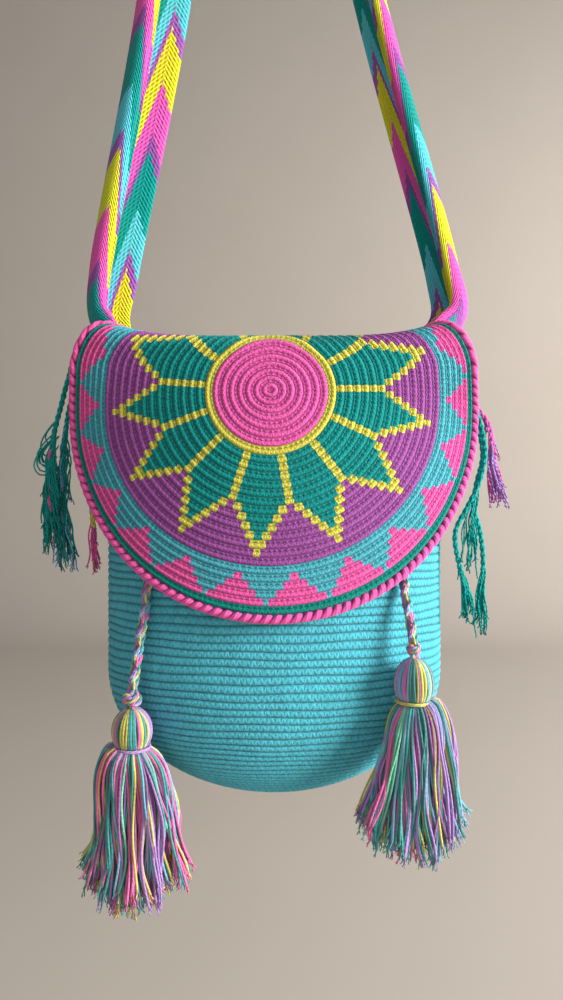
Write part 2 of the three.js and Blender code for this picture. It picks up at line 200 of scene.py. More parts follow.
# %% Shader sums
class Value:
    """A socket that takes part in a sum like a number."""

    def __init__(self, finish, socket):
        self.finish = finish
        self.socket = socket

    def math(self, operation, *others):
        inputs = dict(enumerate((self, *others)))
        return self.finish.node("ShaderNodeMath", {"operation": operation}, inputs)

    def __add__(self, other):
        return self.math("ADD", other)

    def __mul__(self, other):
        return self.math("MULTIPLY", other)

    def __sub__(self, other):
        return self.math("SUBTRACT", other)

    def __rsub__(self, other):
        return self.finish.node("ShaderNodeMath", {"operation": "SUBTRACT"}, {0: other, 1: self})

    def __truediv__(self, other):
        return self.math("DIVIDE", other)

    def __abs__(self):
        return self.math("ABSOLUTE")

    __radd__ = __add__
    __rmul__ = __mul__
    floor = partialmethod(math, "FLOOR")
    fract = partialmethod(math, "FRACT")
    nearest = partialmethod(math, "ROUND")
    cosine = partialmethod(math, "COSINE")
    below = partialmethod(math, "LESS_THAN")
    above = partialmethod(math, "GREATER_THAN")
    largest = partialmethod(math, "MAXIMUM")
    smallest = partialmethod(math, "MINIMUM")

    def held(self):
        """Kept between 0 and 1."""
        settings = {"operation": "ADD", "use_clamp": True}
        return self.finish.node("ShaderNodeMath", settings, {0: self, 1: 0.0})

    def from_middle(self):
        """For a share of a repeat: 0 in its middle and 1 at both ends."""
        return abs(self - 0.5) * 2


# %% Finishes
UV_NAME = "yarn"
COTTON = {
    "Roughness": 0.92, "Specular IOR Level": 0.18, "Sheen Weight": 0.12, "Sheen Roughness": 0.45,
}


class Finish:
    """One cotton material: a Principled shader with a cloth sheen, and nodes that feed it."""

    def __init__(self, name):
        self.material = bpy.data.materials.new(name)
        self.material.use_nodes = True
        self.tree = self.material.node_tree
        self.tree.nodes.clear()
        self.shader = self.tree.nodes.new("ShaderNodeBsdfPrincipled")
        output = self.tree.nodes.new("ShaderNodeOutputMaterial")
        self.tree.links.new(self.shader.outputs["BSDF"], output.inputs["Surface"])
        for socket, value in COTTON.items():
            self.feed(socket, value)

    def node(self, kind, settings=None, inputs=None, out=0):
        """A node of any kind. Its settings are set first, then its sockets get values or links."""
        made = self.tree.nodes.new(kind)
        for name, value in (settings or {}).items():
            if name == "stops":
                self.set_stops(made.color_ramp, value)
            else:
                setattr(made, name, value)
        for key, value in (inputs or {}).items():
            self.join(made.inputs[key], value)
        return Value(self, made.outputs[out])

    def set_stops(self, ramp, stops):
        ramp.interpolation = "CONSTANT"
        while len(ramp.elements) < len(stops):
            ramp.elements.new(0.5)
        for element, (place, colour) in zip(ramp.elements, stops):
            element.position = place
            element.color = colour

    def join(self, socket, value):
        if isinstance(value, Value):
            self.tree.links.new(value.socket, socket)
        else:
            socket.default_value = value

    def feed(self, name, value):
        self.join(self.shader.inputs[name], value)

    def surface_place(self):
        """The two coordinates of the piece's own UV map."""
        place = self.node("ShaderNodeUVMap", {"uv_map": UV_NAME})
        return [self.node("ShaderNodeSeparateXYZ", None, {0: place}, out) for out in (0, 1)]

    def mix(self, share, first, second, blend="MIX"):
        settings = {"data_type": "RGBA", "blend_type": blend}
        return self.node("ShaderNodeMix", settings, {0: share, 6: first, 7: second}, 2)

    def shade(self, colour, level):
        """A colour made darker or lighter by a level around 1."""
        grey = self.node("ShaderNodeCombineColor", None, {0: level, 1: level, 2: level})
        return self.mix(1.0, colour, grey, "MULTIPLY")

    def random(self, a, b):
        """A different number from 0 to 1 for each pair of whole numbers."""
        pair = self.node("ShaderNodeCombineXYZ", None, {0: a, 1: b})
        return self.node("ShaderNodeTexWhiteNoise", {"noise_dimensions": "2D"}, {"Vector": pair})

    def cloud(self, scale, detail=2.0):
        """Soft noise over the piece, from its Object coordinates, around 0.5."""
        place = self.node("ShaderNodeTexCoord", None, None, 3)
        inputs = {"Vector": place, "Scale": scale, "Detail": detail}
        return self.node("ShaderNodeTexNoise", None, inputs)

    def speckle(self, scale, size):
        """The same noise around 0, made stronger or weaker."""
        return (self.cloud(scale) - 0.5) * size

    def emboss(self, height, depth):
        """Bump from a height between 0 and 1, for relief that deep in metres."""
        inputs = {"Height": height, "Distance": depth, "Strength": 1.0}
        self.feed("Normal", self.node("ShaderNodeBump", None, inputs))


# %% [markdown]
# ## Colours
# The cotton's colours are written as they look on a screen. A strand's number picks one of them.

# %% Colours
def srgb(red, green, blue):
    """A colour written from 0 to 255, as the linear values that a shader takes."""
    linear = []
    for part in (red / 255, green / 255, blue / 255):
        linear.append(part / 12.92 if part <= 0.04045 else ((part + 0.055) / 1.055) ** 2.4)
    return (*linear, 1.0)


STRAND_COLOURS = [
    srgb(84, 190, 208), srgb(10, 128, 122), srgb(240, 96, 170), srgb(150, 80, 152),
    srgb(178, 134, 206), srgb(212, 206, 84), srgb(128, 190, 220), srgb(112, 210, 168),
    srgb(238, 196, 112), srgb(6, 158, 150),
]
TURQUOISE, TEAL, PINK, PURPLE, LILAC, LIME, SKY, MINT, APRICOT, SEA = range(len(STRAND_COLOURS))
print(len(STRAND_COLOURS), "colours of cotton")

# %% [markdown]
# ## Grids and strands
# Every soft piece is a flat grid, bent by a formula. Cords, tassels and fringe are strands: grids that
# are rolled up around a route, and whose ends shrink to a point so that they close when the doubles
# are merged. A strand's UV map holds its colour number and how far along it a place is, which is all
# that the yarn's finish needs.

# %% Grids
def shape_grid(bm, columns, rows, uv_at, point_at):
    """Adds a grid, shaped by functions of the shares across and up it. UVs can use a face's foot."""
    layer = bm.loops.layers.uv.get(UV_NAME) or bm.loops.layers.uv.new(UV_NAME)
    verts = bmesh.ops.create_grid(bm, x_segments=columns, y_segments=rows, size=0.5)["verts"]
    for face in {face for vert in verts for face in vert.link_faces}:
        foot = min(loop.vert.co.y for loop in face.loops) + 0.5
        for loop in face.loops:
            loop[layer].uv = uv_at(loop.vert.co.x + 0.5, loop.vert.co.y + 0.5, foot)
    for vert in verts:
        vert.co = point_at(vert.co.x + 0.5, vert.co.y + 0.5)


def level_at(levels, share):
    """The level at a share of the way along a grid that has one line of points for each level."""
    return levels[round(share * (len(levels) - 1))]


# %% Strands
UV_MARGIN = 0.02
THIN_SIDES, ROUND_SIDES = 5, 6


def lay_strand(bm, route, radius, yarn, sides=THIN_SIDES):
    """Adds one closed strand to a mesh. The radius is a number, or a function of the share along."""
    thickness = radius if callable(radius) else (lambda share: radius)
    last = len(route) - 1
    frames = frames_along(route)
    along = distances(route)
    stations = [(0, 0.0), *((i, thickness(i / last)) for i in range(last + 1)), (last, 0.0)]

    def uv_at(share, around, foot):
        reach = along[level_at(stations, share)[0]]
        return yarn + UV_MARGIN + (1 - 2 * UV_MARGIN) * around, reach / MM

    def point_at(share, around):
        point, reach = level_at(stations, share)
        return route[point] + spoke(frames[point], TURN * around) * reach

    shape_grid(bm, len(stations) - 1, sides, uv_at, point_at)


# %% [markdown]
# A mesh becomes a piece of the bag when it is closed and has its finish, the solids that it stands for
# and the body that it rides on.

# %% Pieces
WELD = 1e-6


def make_piece(bm, name, finish, nodes=(), body=None):
    """Welds a mesh shut and makes it a piece of the bag with its finish."""
    bmesh.ops.remove_doubles(bm, verts=bm.verts, dist=WELD)
    bmesh.ops.recalc_face_normals(bm, faces=bm.faces)
    for face in bm.faces:
        face.smooth = True
    mesh = bpy.data.meshes.new(name)
    bm.to_mesh(mesh)
    bm.free()
    mesh.materials.append(finish.material)
    piece = add_object(name, mesh)
    if nodes:
        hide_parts(*nodes)
    if body:
        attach(piece, body)
    print(f"{name}: {len(mesh.polygons)} faces")
    return piece


# %% [markdown]
# ## Yarn's finish
# Cotton yarn is two plies twisted together: the finish paints light on each ply and shade in the
# groove between them into its colour. The twist is a slanting stripe in the strand's own coordinates,
# around and along.

# %% Yarn's finish
PALE = srgb(232, 226, 236)
PLIES = 2
YARN_LEVEL = 0.97
PLY_LIGHT_AND_SHADE = 0.36
YARN_PATCHES = (160, 0.4)
FIBRE_SCALE, FIBRE_RELIEF = 2600, 0.5
YARN_RELIEF = 0.5 * MM


def yarn_finish(name, twist, depth, pale):
    """Cotton in each strand's colour: a turn's length, how deep the twist is, a share of white."""
    finish = Finish(name)
    number, along = finish.surface_place()
    stops = [(i / len(STRAND_COLOURS), colour) for i, colour in enumerate(STRAND_COLOURS)]
    pick = (number.floor() + 0.5) / len(STRAND_COLOURS)
    colour = finish.node("ShaderNodeValToRGB", {"stops": stops}, {0: pick})
    slant = (number.fract() + along * (MM / twist)) * PLIES
    ply = 1 - slant.fract().from_middle()
    patch = finish.speckle(*YARN_PATCHES)
    # Painted light on each ply and painted shade in the groove between plies; the patches are the
    # yarn's own tone.
    level = YARN_LEVEL + (ply - 0.5) * (PLY_LIGHT_AND_SHADE * depth) + patch
    finish.feed("Base Color", finish.shade(finish.mix(pale, colour, PALE), level))
    finish.emboss(ply * depth + finish.cloud(FIBRE_SCALE) * FIBRE_RELIEF, YARN_RELIEF)
    return finish


TASSEL_YARN = yarn_finish("tassel_yarn", twist=6 * MM, depth=0.22, pale=0.1)
CORD_YARN = yarn_finish("cord_yarn", twist=7 * MM, depth=0.7, pale=0.12)
FRINGE_YARN = yarn_finish("fringe_yarn", twist=6 * MM, depth=0.8, pale=0.0)
print("yarn finishes:", [yarn.material.name for yarn in (TASSEL_YARN, CORD_YARN, FRINGE_YARN)])

# %% [markdown]
# ## The pouch's form
# The cords run close to the pouch, so its form comes before them. It is a standing oval, pinched a
# little from front to back at the rim, closed below by half an ellipse with a small flat, and pulled
# up at both sides by the strap. The frame gives the overall sizes.

# %% The pouch's form
ROW_HEIGHT = 4.75 * MM
ROW_RELIEF = 0.7 * MM
WALL = 4 * MM
RIM_RISE = 21 * MM
RISE_HEIGHT = 60 * MM
RISE_STEEPNESS = 6
RIM_HALF_DEPTH = 45 * MM
BOTTOM_HEIGHT = 78 * MM
BASE_HALF_WIDTH = 30 * MM
PINCH_HEIGHT = 110 * MM

body_low, body_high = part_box("bag_body")
BAG_X = (body_low.x + body_high.x) / 2
BASE_Z = body_low.z
RIM_Z = body_high.z - RIM_RISE
BODY_HALF_WIDTH = (body_high.x - body_low.x) / 2 - ROW_RELIEF
BODY_HALF_DEPTH = (body_high.y - body_low.y) / 2 - ROW_RELIEF
BASE_SHARE = BASE_HALF_WIDTH / BODY_HALF_WIDTH
BOTTOM_CENTRE_Z = BASE_Z + BOTTOM_HEIGHT * sqrt(1 - BASE_SHARE**2)


def oval_at(z, inset=0.0):
    """Half width and half depth of the pouch at a height."""
    depth = lerp(BODY_HALF_DEPTH, RIM_HALF_DEPTH, smooth(z, RIM_Z - PINCH_HEIGHT, RIM_Z))
    below = max(0.0, BOTTOM_CENTRE_Z - z) / (BOTTOM_HEIGHT - inset)
    close = sqrt(max(0.0, 1 - below * below))
    return (BODY_HALF_WIDTH - inset) * close, (depth - inset) * close


def rim_rise(x, z):
    """How far the strap pulls a place up."""
    side = min(1.0, abs(x) / BODY_HALF_WIDTH)
    return RIM_RISE * side**RISE_STEEPNESS * smooth(z, RIM_Z - RISE_HEIGHT, RIM_Z)


def at_bag(x, y, z):
    """A point given in millimetres from the bag's middle plane."""
    return Vector((BAG_X + x * MM, y * MM, z * MM))


print("pouch", round(2 * BODY_HALF_WIDTH, 3), "m wide, base at", round(BASE_Z, 3))

# %% [markdown]
# ## The drawstring
# The drawstring is a round braid of four strands: two wind one way, two the other, and each passes
# over one and under the next. So a strand is a helix whose distance from the middle swings in and out
# twice in a turn. Each strand is itself three thin yarns of different colours, twisted together. The
# ring runs in and out of eyelets below the rim. It starts and ends where the left end leaves it,
# behind the flap.

# %% The drawstring's braid
CORD_RADIUS = 3 * MM
CORD_CORE = 1.2 * MM
BRAID_STRAND = 1.5 * MM
BRAID_SWING = 0.45 * MM
BRAID_PITCH = 24 * MM
BRAID_YARN = 0.82 * MM
BRAID_PLY_PITCH = 13 * MM
BRAID_YARNS = (
    (PINK, LILAC, PURPLE), (LIME, TURQUOISE, SEA), (TEAL, SKY, LILAC), (PINK, LIME, SEA),
)


def wound(route, wind):
    """A route around another one. The function gives a turn and a distance off it for each reach."""
    winding = []
    for point, reach, sides in zip(route, distances(route), frames_along(route)):
        turn, off = wind(reach)
        winding.append(point + spoke(sides, turn) * off)
    return winding


def twisted(route, count, off, pitch):
    """Routes of so many yarns that wind around one route, at a distance off it."""
    starts = [TURN * number / count for number in range(count)]
    return [wound(route, lambda reach: (start + TURN * reach / pitch, off)) for start in starts]


def braid(bm, route):
    """Adds four strands that cross over and under each other along a route, around a plain core."""
    lay_strand(bm, route, CORD_CORE, LILAC)
    for number, colours in enumerate(BRAID_YARNS):
        way = 1 if number % 2 == 0 else -1
        start = pi * (number // 2)

        def wind(reach):
            phase = TURN * reach / BRAID_PITCH
            swing = way * BRAID_SWING * cos(2 * phase)
            return start + way * phase, CORD_RADIUS - BRAID_STRAND + swing

        off = BRAID_STRAND - BRAID_YARN
        yarns = twisted(wound(route, wind), len(colours), off, BRAID_PLY_PITCH)
        for yarn, colour in zip(yarns, colours):
            lay_strand(bm, yarn, BRAID_YARN, colour)


# %% The drawstring's ring
EYELET_DROP = 14 * MM
EYELET_RISE = 7 * MM
EYELET_PAIRS = 8
WEAVE_REACH = 6.2 * MM
WEAVE_SQUARENESS = 1.6
LEFT_EYELET, RIGHT_EYELET = -3 * pi / 4, -pi / 4
RING_POINTS = 256
RING_STEP = 1.8 * MM


def ring_place(turn):
    """Middle of the drawstring's ring, for a turn around the bag from its right side."""
    z = RIM_Z - EYELET_DROP
    width, depth = oval_at(z, WALL / 2)
    place = Vector((BAG_X + width * cos(turn), depth * sin(turn), z))
    out = Vector((cos(turn) / width, sin(turn) / depth, 0)).normalized()
    weave = clamp(WEAVE_SQUARENESS * cos(EYELET_PAIRS * turn), -1, 1)
    place += out * WEAVE_REACH * weave
    place.z += EYELET_RISE * abs(cos(turn)) ** RISE_STEEPNESS
    return place


bm = bmesh.new()
ring = [ring_place(LEFT_EYELET + TURN * i / RING_POINTS) for i in range(RING_POINTS + 1)]
braid(bm, even_route(ring, RING_STEP))
make_piece(bm, "drawstring_braid", CORD_YARN, ["drawstring"], "bag")

# %% [markdown]
# ## The drawstring's ends
# Each end comes out of an eyelet, runs down between the pouch and the flap, and hangs free below the
# flap's edge with a tassel. Its length is what shows plus the short way up to the eyelet. It runs on
# through the knot into the tassel's head, as the real one does.

# %% The drawstring's ends
TASSEL_PLACES = {
    "left": {
        "eyelet": LEFT_EYELET, "pivot": at_bag(-73, -45.3, -670), "knot": at_bag(-79.8, -54, -729),
    },
    "right": {
        "eyelet": RIGHT_EYELET, "pivot": at_bag(75, -45.3, -665), "knot": at_bag(79.2, -54, -701),
    },
}
OUT_OF_EYELET = Vector((0, -7, -6)) * MM
BEHIND_FLAP = ((0.3, 34 * MM), (0.7, 78 * MM))
BOW_SHARE, BOW = 0.45, Vector((0, -1, 0)) * MM
BEND = Vector((0, 0, 9 * MM))
INTO_HEAD = Vector((0, 0, 16 * MM))
CORD_STEP = 1.6 * MM


def cord_end_route(eyelet, pivot, knot):
    """From the eyelet, down behind the flap to the pivot, and on into the tassel's head."""
    start = ring_place(eyelet)
    points = [start + OUT_OF_EYELET]
    for share, drop in BEHIND_FLAP:
        points.append(Vector((lerp(start.x, pivot.x, share), pivot.y, start.z - drop)))
    points += [pivot, pivot.lerp(knot, BOW_SHARE) + BOW, knot, knot - INTO_HEAD]
    return even_route(smooth_route(points), CORD_STEP)


cord_ends = {}
for name, place in TASSEL_PLACES.items():
    route = cord_end_route(**place)
    bm = bmesh.new()
    braid(bm, route)
    nodes = [f"{name}_drawstring", f"{name}_drawstring_end"]
    piece = make_piece(bm, f"{name}_cord", CORD_YARN, nodes)
    place["pivot"] + BEND
    place["pivot"] - BEND
    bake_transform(piece)
    cord_ends[name] = (piece, route)
    print(f"{name} cord is {distances(route)[-1]:.3f} m long")

# %% [markdown]
# ## Tassel knots
# Above each tassel the cord is tied in an overhand knot. A trefoil is that knot with its ends joined,
# and it has a short formula. Four strands follow it, each tipped its own way, so that they cross. The
# left knot is tied loosely and lies wide on the tassel's head.

# %% Tassel knots
KNOT_RINGS = {"left": 3.3 * MM, "right": 2.0 * MM}
KNOT_SWING = 1.5 * MM
KNOT_TALLNESS = 1.3
KNOT_STRAND = 1.05 * MM
KNOT_STEPS = 72
KNOT_STRANDS = (
    (0.0, 0.5, LILAC), (1.1, -0.5, PINK), (-1.1, 0.15, LIME), (2.2, -0.2, TEAL),
)


def trefoil(centre, ring, shift, tip):
    """One strand of a knot: shifted along it, and tipped."""
    tipped = Matrix.Rotation(tip, 3, "Y")
    route = []
    for i in range(KNOT_STEPS + 1):
        turn = TURN * i / KNOT_STEPS
        reach = ring + KNOT_SWING * cos(3 * turn + shift)
        height = KNOT_TALLNESS * KNOT_SWING * sin(3 * turn + shift)
        off = Vector((reach * cos(2 * turn), reach * sin(2 * turn), height))
        route.append(centre + tipped @ off)
    return route


for name, place in TASSEL_PLACES.items():
    bm = bmesh.new()
    for shift, tip, yarn in KNOT_STRANDS:
        route = trefoil(place["knot"], KNOT_RINGS[name], shift, tip)
        lay_strand(bm, route, KNOT_STRAND, yarn, ROUND_SIDES)
    nodes = [f"{name}_tassel_knot"]
    make_piece(
        bm, f"{name}_cord_knot", CORD_YARN, nodes, f"{name}_tassel"
    )

# %% [markdown]
# ## Tassels
# A tassel is a bundle of yarn hung over the cord, tied below its head, and left to spread. The skirt
# falls in locks of a few strands that keep together. A lock starts at the tie, spreads and then hangs;
# the ones on the free side spring out over a shoulder, and the ones that lie against the pouch slope.

# %% The line of a lock
SKIRT_STEP = 4.2 * MM
LOCK_SPAN = 4
SKIRT_DROPS = (0.8, 1.8, 6.0, 13.0, 31.0, 52.0)
OUTER_WIDTHS = (6.5, 11.5, 15.5, 19.5, 21.5, 23.5, 28.0)
INNER_WIDTHS = {
    "left": (6.5, 10.5, 15.0, 19.0, 25.0, 29.0, 33.0),
    "right": (6.0, 8.0, 11.5, 14.5, 20.0, 25.0, 31.0),
}
OUTER_SIDES = {"left": -1, "right": 1}
SHOULDER_RISE = 4.2
SHOULDER_LEVELS = (1, 2)
SKIRT_FLATNESS = 0.6
FLAT_BELOW = 20.0


def lock_line(side, rank, turn, length):
    """The middle line of one lock from the tie. Rank is 0 in the bundle's middle and 1 outside."""
    outward = OUTER_SIDES[side] * cos(turn)
    drops = (*SKIRT_DROPS, length / MM)
    points = []
    for number, (drop, outer, inner) in enumerate(zip(drops, OUTER_WIDTHS, INNER_WIDTHS[side])):
        rise = SHOULDER_RISE * rank * max(0.0, outward) ** 2 if number in SHOULDER_LEVELS else 0.0
        flat = lerp(1.0, SKIRT_FLATNESS, smooth(drop, 0, FLAT_BELOW))
        width = lerp(inner, outer, smooth(outward, -1, 1))
        x = width * rank * cos(turn)
        y = width * rank * flat * sin(turn)
        points.append(Vector((x, y, rise - drop)) * MM)
    return even_route(smooth_route(points, LOCK_SPAN), SKIRT_STEP)


# %% [markdown]
# Seeded random waves bend the locks, so neighbours cross and the ends are uneven, and each strand
# splits into its plies at the cut.

# %% The strands of a lock
LOCK_STRANDS = 4
LOCK_RADIUS = 1.0 * MM
LOCK_SECTION = (0.5, 1.5)
LOCK_WINDING = 4
LOCK_START, LOCK_OPENING = 0.35, 4
BENDS, BEND_TURNS = (1.0, 3.4), (0.5, 1.3)
RIPPLES, RIPPLE_WAVES = (0.3, 1.2), (7, 13)
LOOSENING = 0.7
STRAND_LENGTHS = (0.76, 0.9)
SIDE_SHORTENING = 0.2


def lock_strands(chance, side, centre, drop, turn, rank):
    """The routes of the strands in one lock: its line, its own bends, and a place in its section."""
    shortened = 1 - SIDE_SHORTENING * (rank * cos(turn)) ** 2
    bends = [
        (chance.uniform(*BENDS) * MM, chance.uniform(*BEND_TURNS), chance.uniform(0, TURN))
        for _ in range(2)
    ]
    winding = chance.uniform(-LOCK_WINDING, LOCK_WINDING)
    routes = []
    for number in range(LOCK_STRANDS):
        line = lock_line(side, rank, turn, drop * chance.uniform(*STRAND_LENGTHS) * shortened)
        off = LOCK_RADIUS * chance.uniform(*LOCK_SECTION)
        ripple = chance.uniform(*RIPPLES) * MM
        waves = chance.uniform(*RIPPLE_WAVES)
        phase = chance.uniform(0, TURN)
        route = []
        for i, point in enumerate(line):
            share = i / (len(line) - 1)
            bend = [size * sin(TURN * turns * share + start) for size, turns, start in bends]
            curl = ripple * sin(waves * share + phase)
            angle = TURN * number / LOCK_STRANDS + winding * share
            spread = off * min(1.0, LOCK_START + LOCK_OPENING * share)
            x = spread * cos(angle) + (bend[0] + curl) * share**LOOSENING
            y = spread * sin(angle) + bend[1] * share**LOOSENING
            route.append(centre + point + Vector((x, y, 0)))
        routes.append(route)
    return routes


# %% Frayed ends
FRAY_PLIES = 2
FRAY_RADIUS = 0.36 * MM
FRAY_SIDES = 4
FRAY_SPREAD, FRAY_CURL = 0.45, 0.12
FRAY_LENGTHS = (0.6, 1.1)


def any_way(chance, size):
    return Vector([chance.uniform(-size, size) for _ in range(3)])


def lay_frayed(bm, chance, route, radius, yarn, length):
    """Adds a strand, and the thin plies that part at its cut end."""
    lay_strand(bm, route, radius, yarn)
    tip = route[-1]
    heading = (tip - route[-2]).normalized()
    for _ in range(FRAY_PLIES):
        way = heading + any_way(chance, FRAY_SPREAD)
        reach = way.normalized() * length * chance.uniform(*FRAY_LENGTHS)
        curl = any_way(chance, FRAY_CURL) * length
        lay_strand(bm, [tip, tip + 0.5 * reach + curl, tip + reach], FRAY_RADIUS, yarn, FRAY_SIDES)


# %% Tassel skirts
TASSEL_STRAND = 0.68 * MM
TASSEL_FRAY = 4.5 * MM
LOCKS = 124
LOCK_FILL = 0.42
LOCK_COLOUR_SHARE = 0.5
GOLDEN_TURN = pi * (3 - sqrt(5))
TASSEL_MIX = (
    [TURQUOISE] * 4 + [TEAL] * 6 + [PINK] * 7 + [PURPLE] * 4 + [LILAC] * 6 + [LIME] * 5 + [SKY] * 3
    + [MINT] * 2 + [APRICOT] * 2 + [SEA] * 4
)


def add_skirt(bm, chance, side, centre, drop):
    """Adds all locks of a tassel, from the bundle's middle outwards."""
    for i in range(LOCKS):
        rank = ((i + 0.5) / LOCKS) ** LOCK_FILL
        main = chance.choice(TASSEL_MIX)
        for route in lock_strands(chance, side, centre, drop, GOLDEN_TURN * i, rank):
            yarn = main if chance.random() < LOCK_COLOUR_SHARE else chance.choice(TASSEL_MIX)
            lay_frayed(bm, chance, route, TASSEL_STRAND, yarn, TASSEL_FRAY)


print("a skirt has", LOCKS * LOCK_STRANDS, "strands")

# %% [markdown]
# ## Tassel heads
# Above the tie the same yarn forms a ball: strands run over it from the cord down to the tie, in runs
# of one or two of a colour. A plain core fills the ball.

# %% Tassel heads
HEAD_STRANDS = 50
HEAD_STRAND = 0.86 * MM
HEAD_RADIUS = 10.7 * MM
HEAD_TOP, HEAD_NECK = 0.14, 2.35
HEAD_STEPS = 14
HEAD_LEAN = 0.12
HEAD_RUNS = (1, 1, 2)
CORE_LEVELS = (0.1, 0.3, 0.6, 0.9)
CORE_WIDTH, CORE_SWELL = 0.6, 0.36
CORE_SIDES = 12
TASSEL_SEED = 41


def head_strand(centre, neck, top, turn, lean):
    """A strand over the tassel's round head, from below the knot to the tie."""
    route = []
    tall = cos(HEAD_TOP) - cos(HEAD_NECK)
    for i in range(HEAD_STEPS + 1):
        share = i / HEAD_STEPS
        fall = lerp(HEAD_TOP, HEAD_NECK, share)
        reach = HEAD_RADIUS * sin(fall)
        angle = turn + lean * sin(pi * share)
        x = centre.x + reach * cos(angle)
        y = centre.y + reach * sin(angle)
        z = neck + (top - neck) * (cos(fall) - cos(HEAD_NECK)) / tall
        route.append(Vector((x, y, z)))
    return route


def colour_runs(chance, count):
    """A ring of colour numbers in short runs."""
    colours = []
    while len(colours) < count:
        colours += [chance.choice(TASSEL_MIX)] * chance.choice(HEAD_RUNS)
    return colours[:count]


def core_radius(share):
    return HEAD_RADIUS * (CORE_WIDTH + CORE_SWELL * sin(pi * share))


def add_head(bm, chance, centre, neck, top):
    """Adds the strands over a tassel's head, and its core."""
    for i, yarn in enumerate(colour_runs(chance, HEAD_STRANDS)):
        lean = chance.uniform(-HEAD_LEAN, HEAD_LEAN)
        route = head_strand(centre, neck, top, TURN * i / HEAD_STRANDS, lean)
        lay_strand(bm, route, HEAD_STRAND, yarn, ROUND_SIDES)
    core = [Vector((centre.x, centre.y, lerp(top, neck, share))) for share in CORE_LEVELS]
    lay_strand(bm, core, core_radius, TEAL, CORE_SIDES)


for seed, (name, place) in enumerate(TASSEL_PLACES.items()):
    chance = random.Random(TASSEL_SEED + seed)
    low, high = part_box(f"{name}_tassel")
    binding_low, binding_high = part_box(f"{name}_tassel_binding")
    neck = (binding_low.z + binding_high.z) / 2
    bm = bmesh.new()
    add_skirt(bm, chance, name, Vector((place["knot"].x, place["knot"].y, neck)), neck - low.z)
    add_head(bm, chance, place["knot"], neck, high.z)
    make_piece(
        bm, f"{name}_tassel_strands", TASSEL_YARN, [f"{name}_tassel"], f"{name}_tassel"
    )

# %% [markdown]
# ## Tassel bindings
# Two tight turns of thread tie the neck. One strand on a low helix makes them, a strand's width apart,
# so the turns show. With its knot, tassel and binding each cord is complete.

# %% Tassel bindings
BINDING_STRAND = 0.62 * MM
BINDING_TURNS = 2
BINDING_STEPS = 24 * BINDING_TURNS
BINDING_YARNS = {"left": LILAC, "right": LIME}

for name, place in TASSEL_PLACES.items():
    low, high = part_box(f"{name}_tassel_binding")
    ring_radius = (high.x - low.x) / 2 - BINDING_STRAND
    route = []
    for i in range(BINDING_STEPS + 1):
        turn = TURN * BINDING_TURNS * i / BINDING_STEPS
        z = (low.z + high.z) / 2 + BINDING_STRAND * BINDING_TURNS * (1 - 2 * i / BINDING_STEPS) / 2
        around = Vector((cos(turn), sin(turn), 0)) * ring_radius
        route.append(Vector((place["knot"].x, place["knot"].y, z)) + around)
    bm = bmesh.new()
    lay_strand(bm, route, BINDING_STRAND, BINDING_YARNS[name], ROUND_SIDES)
    make_piece(
        bm, f"{name}_neck_thread", CORD_YARN, [f"{name}_tassel_binding"],
        f"{name}_tassel",
    )

for name, (piece, route) in cord_ends.items():
    distances(route)[-1]
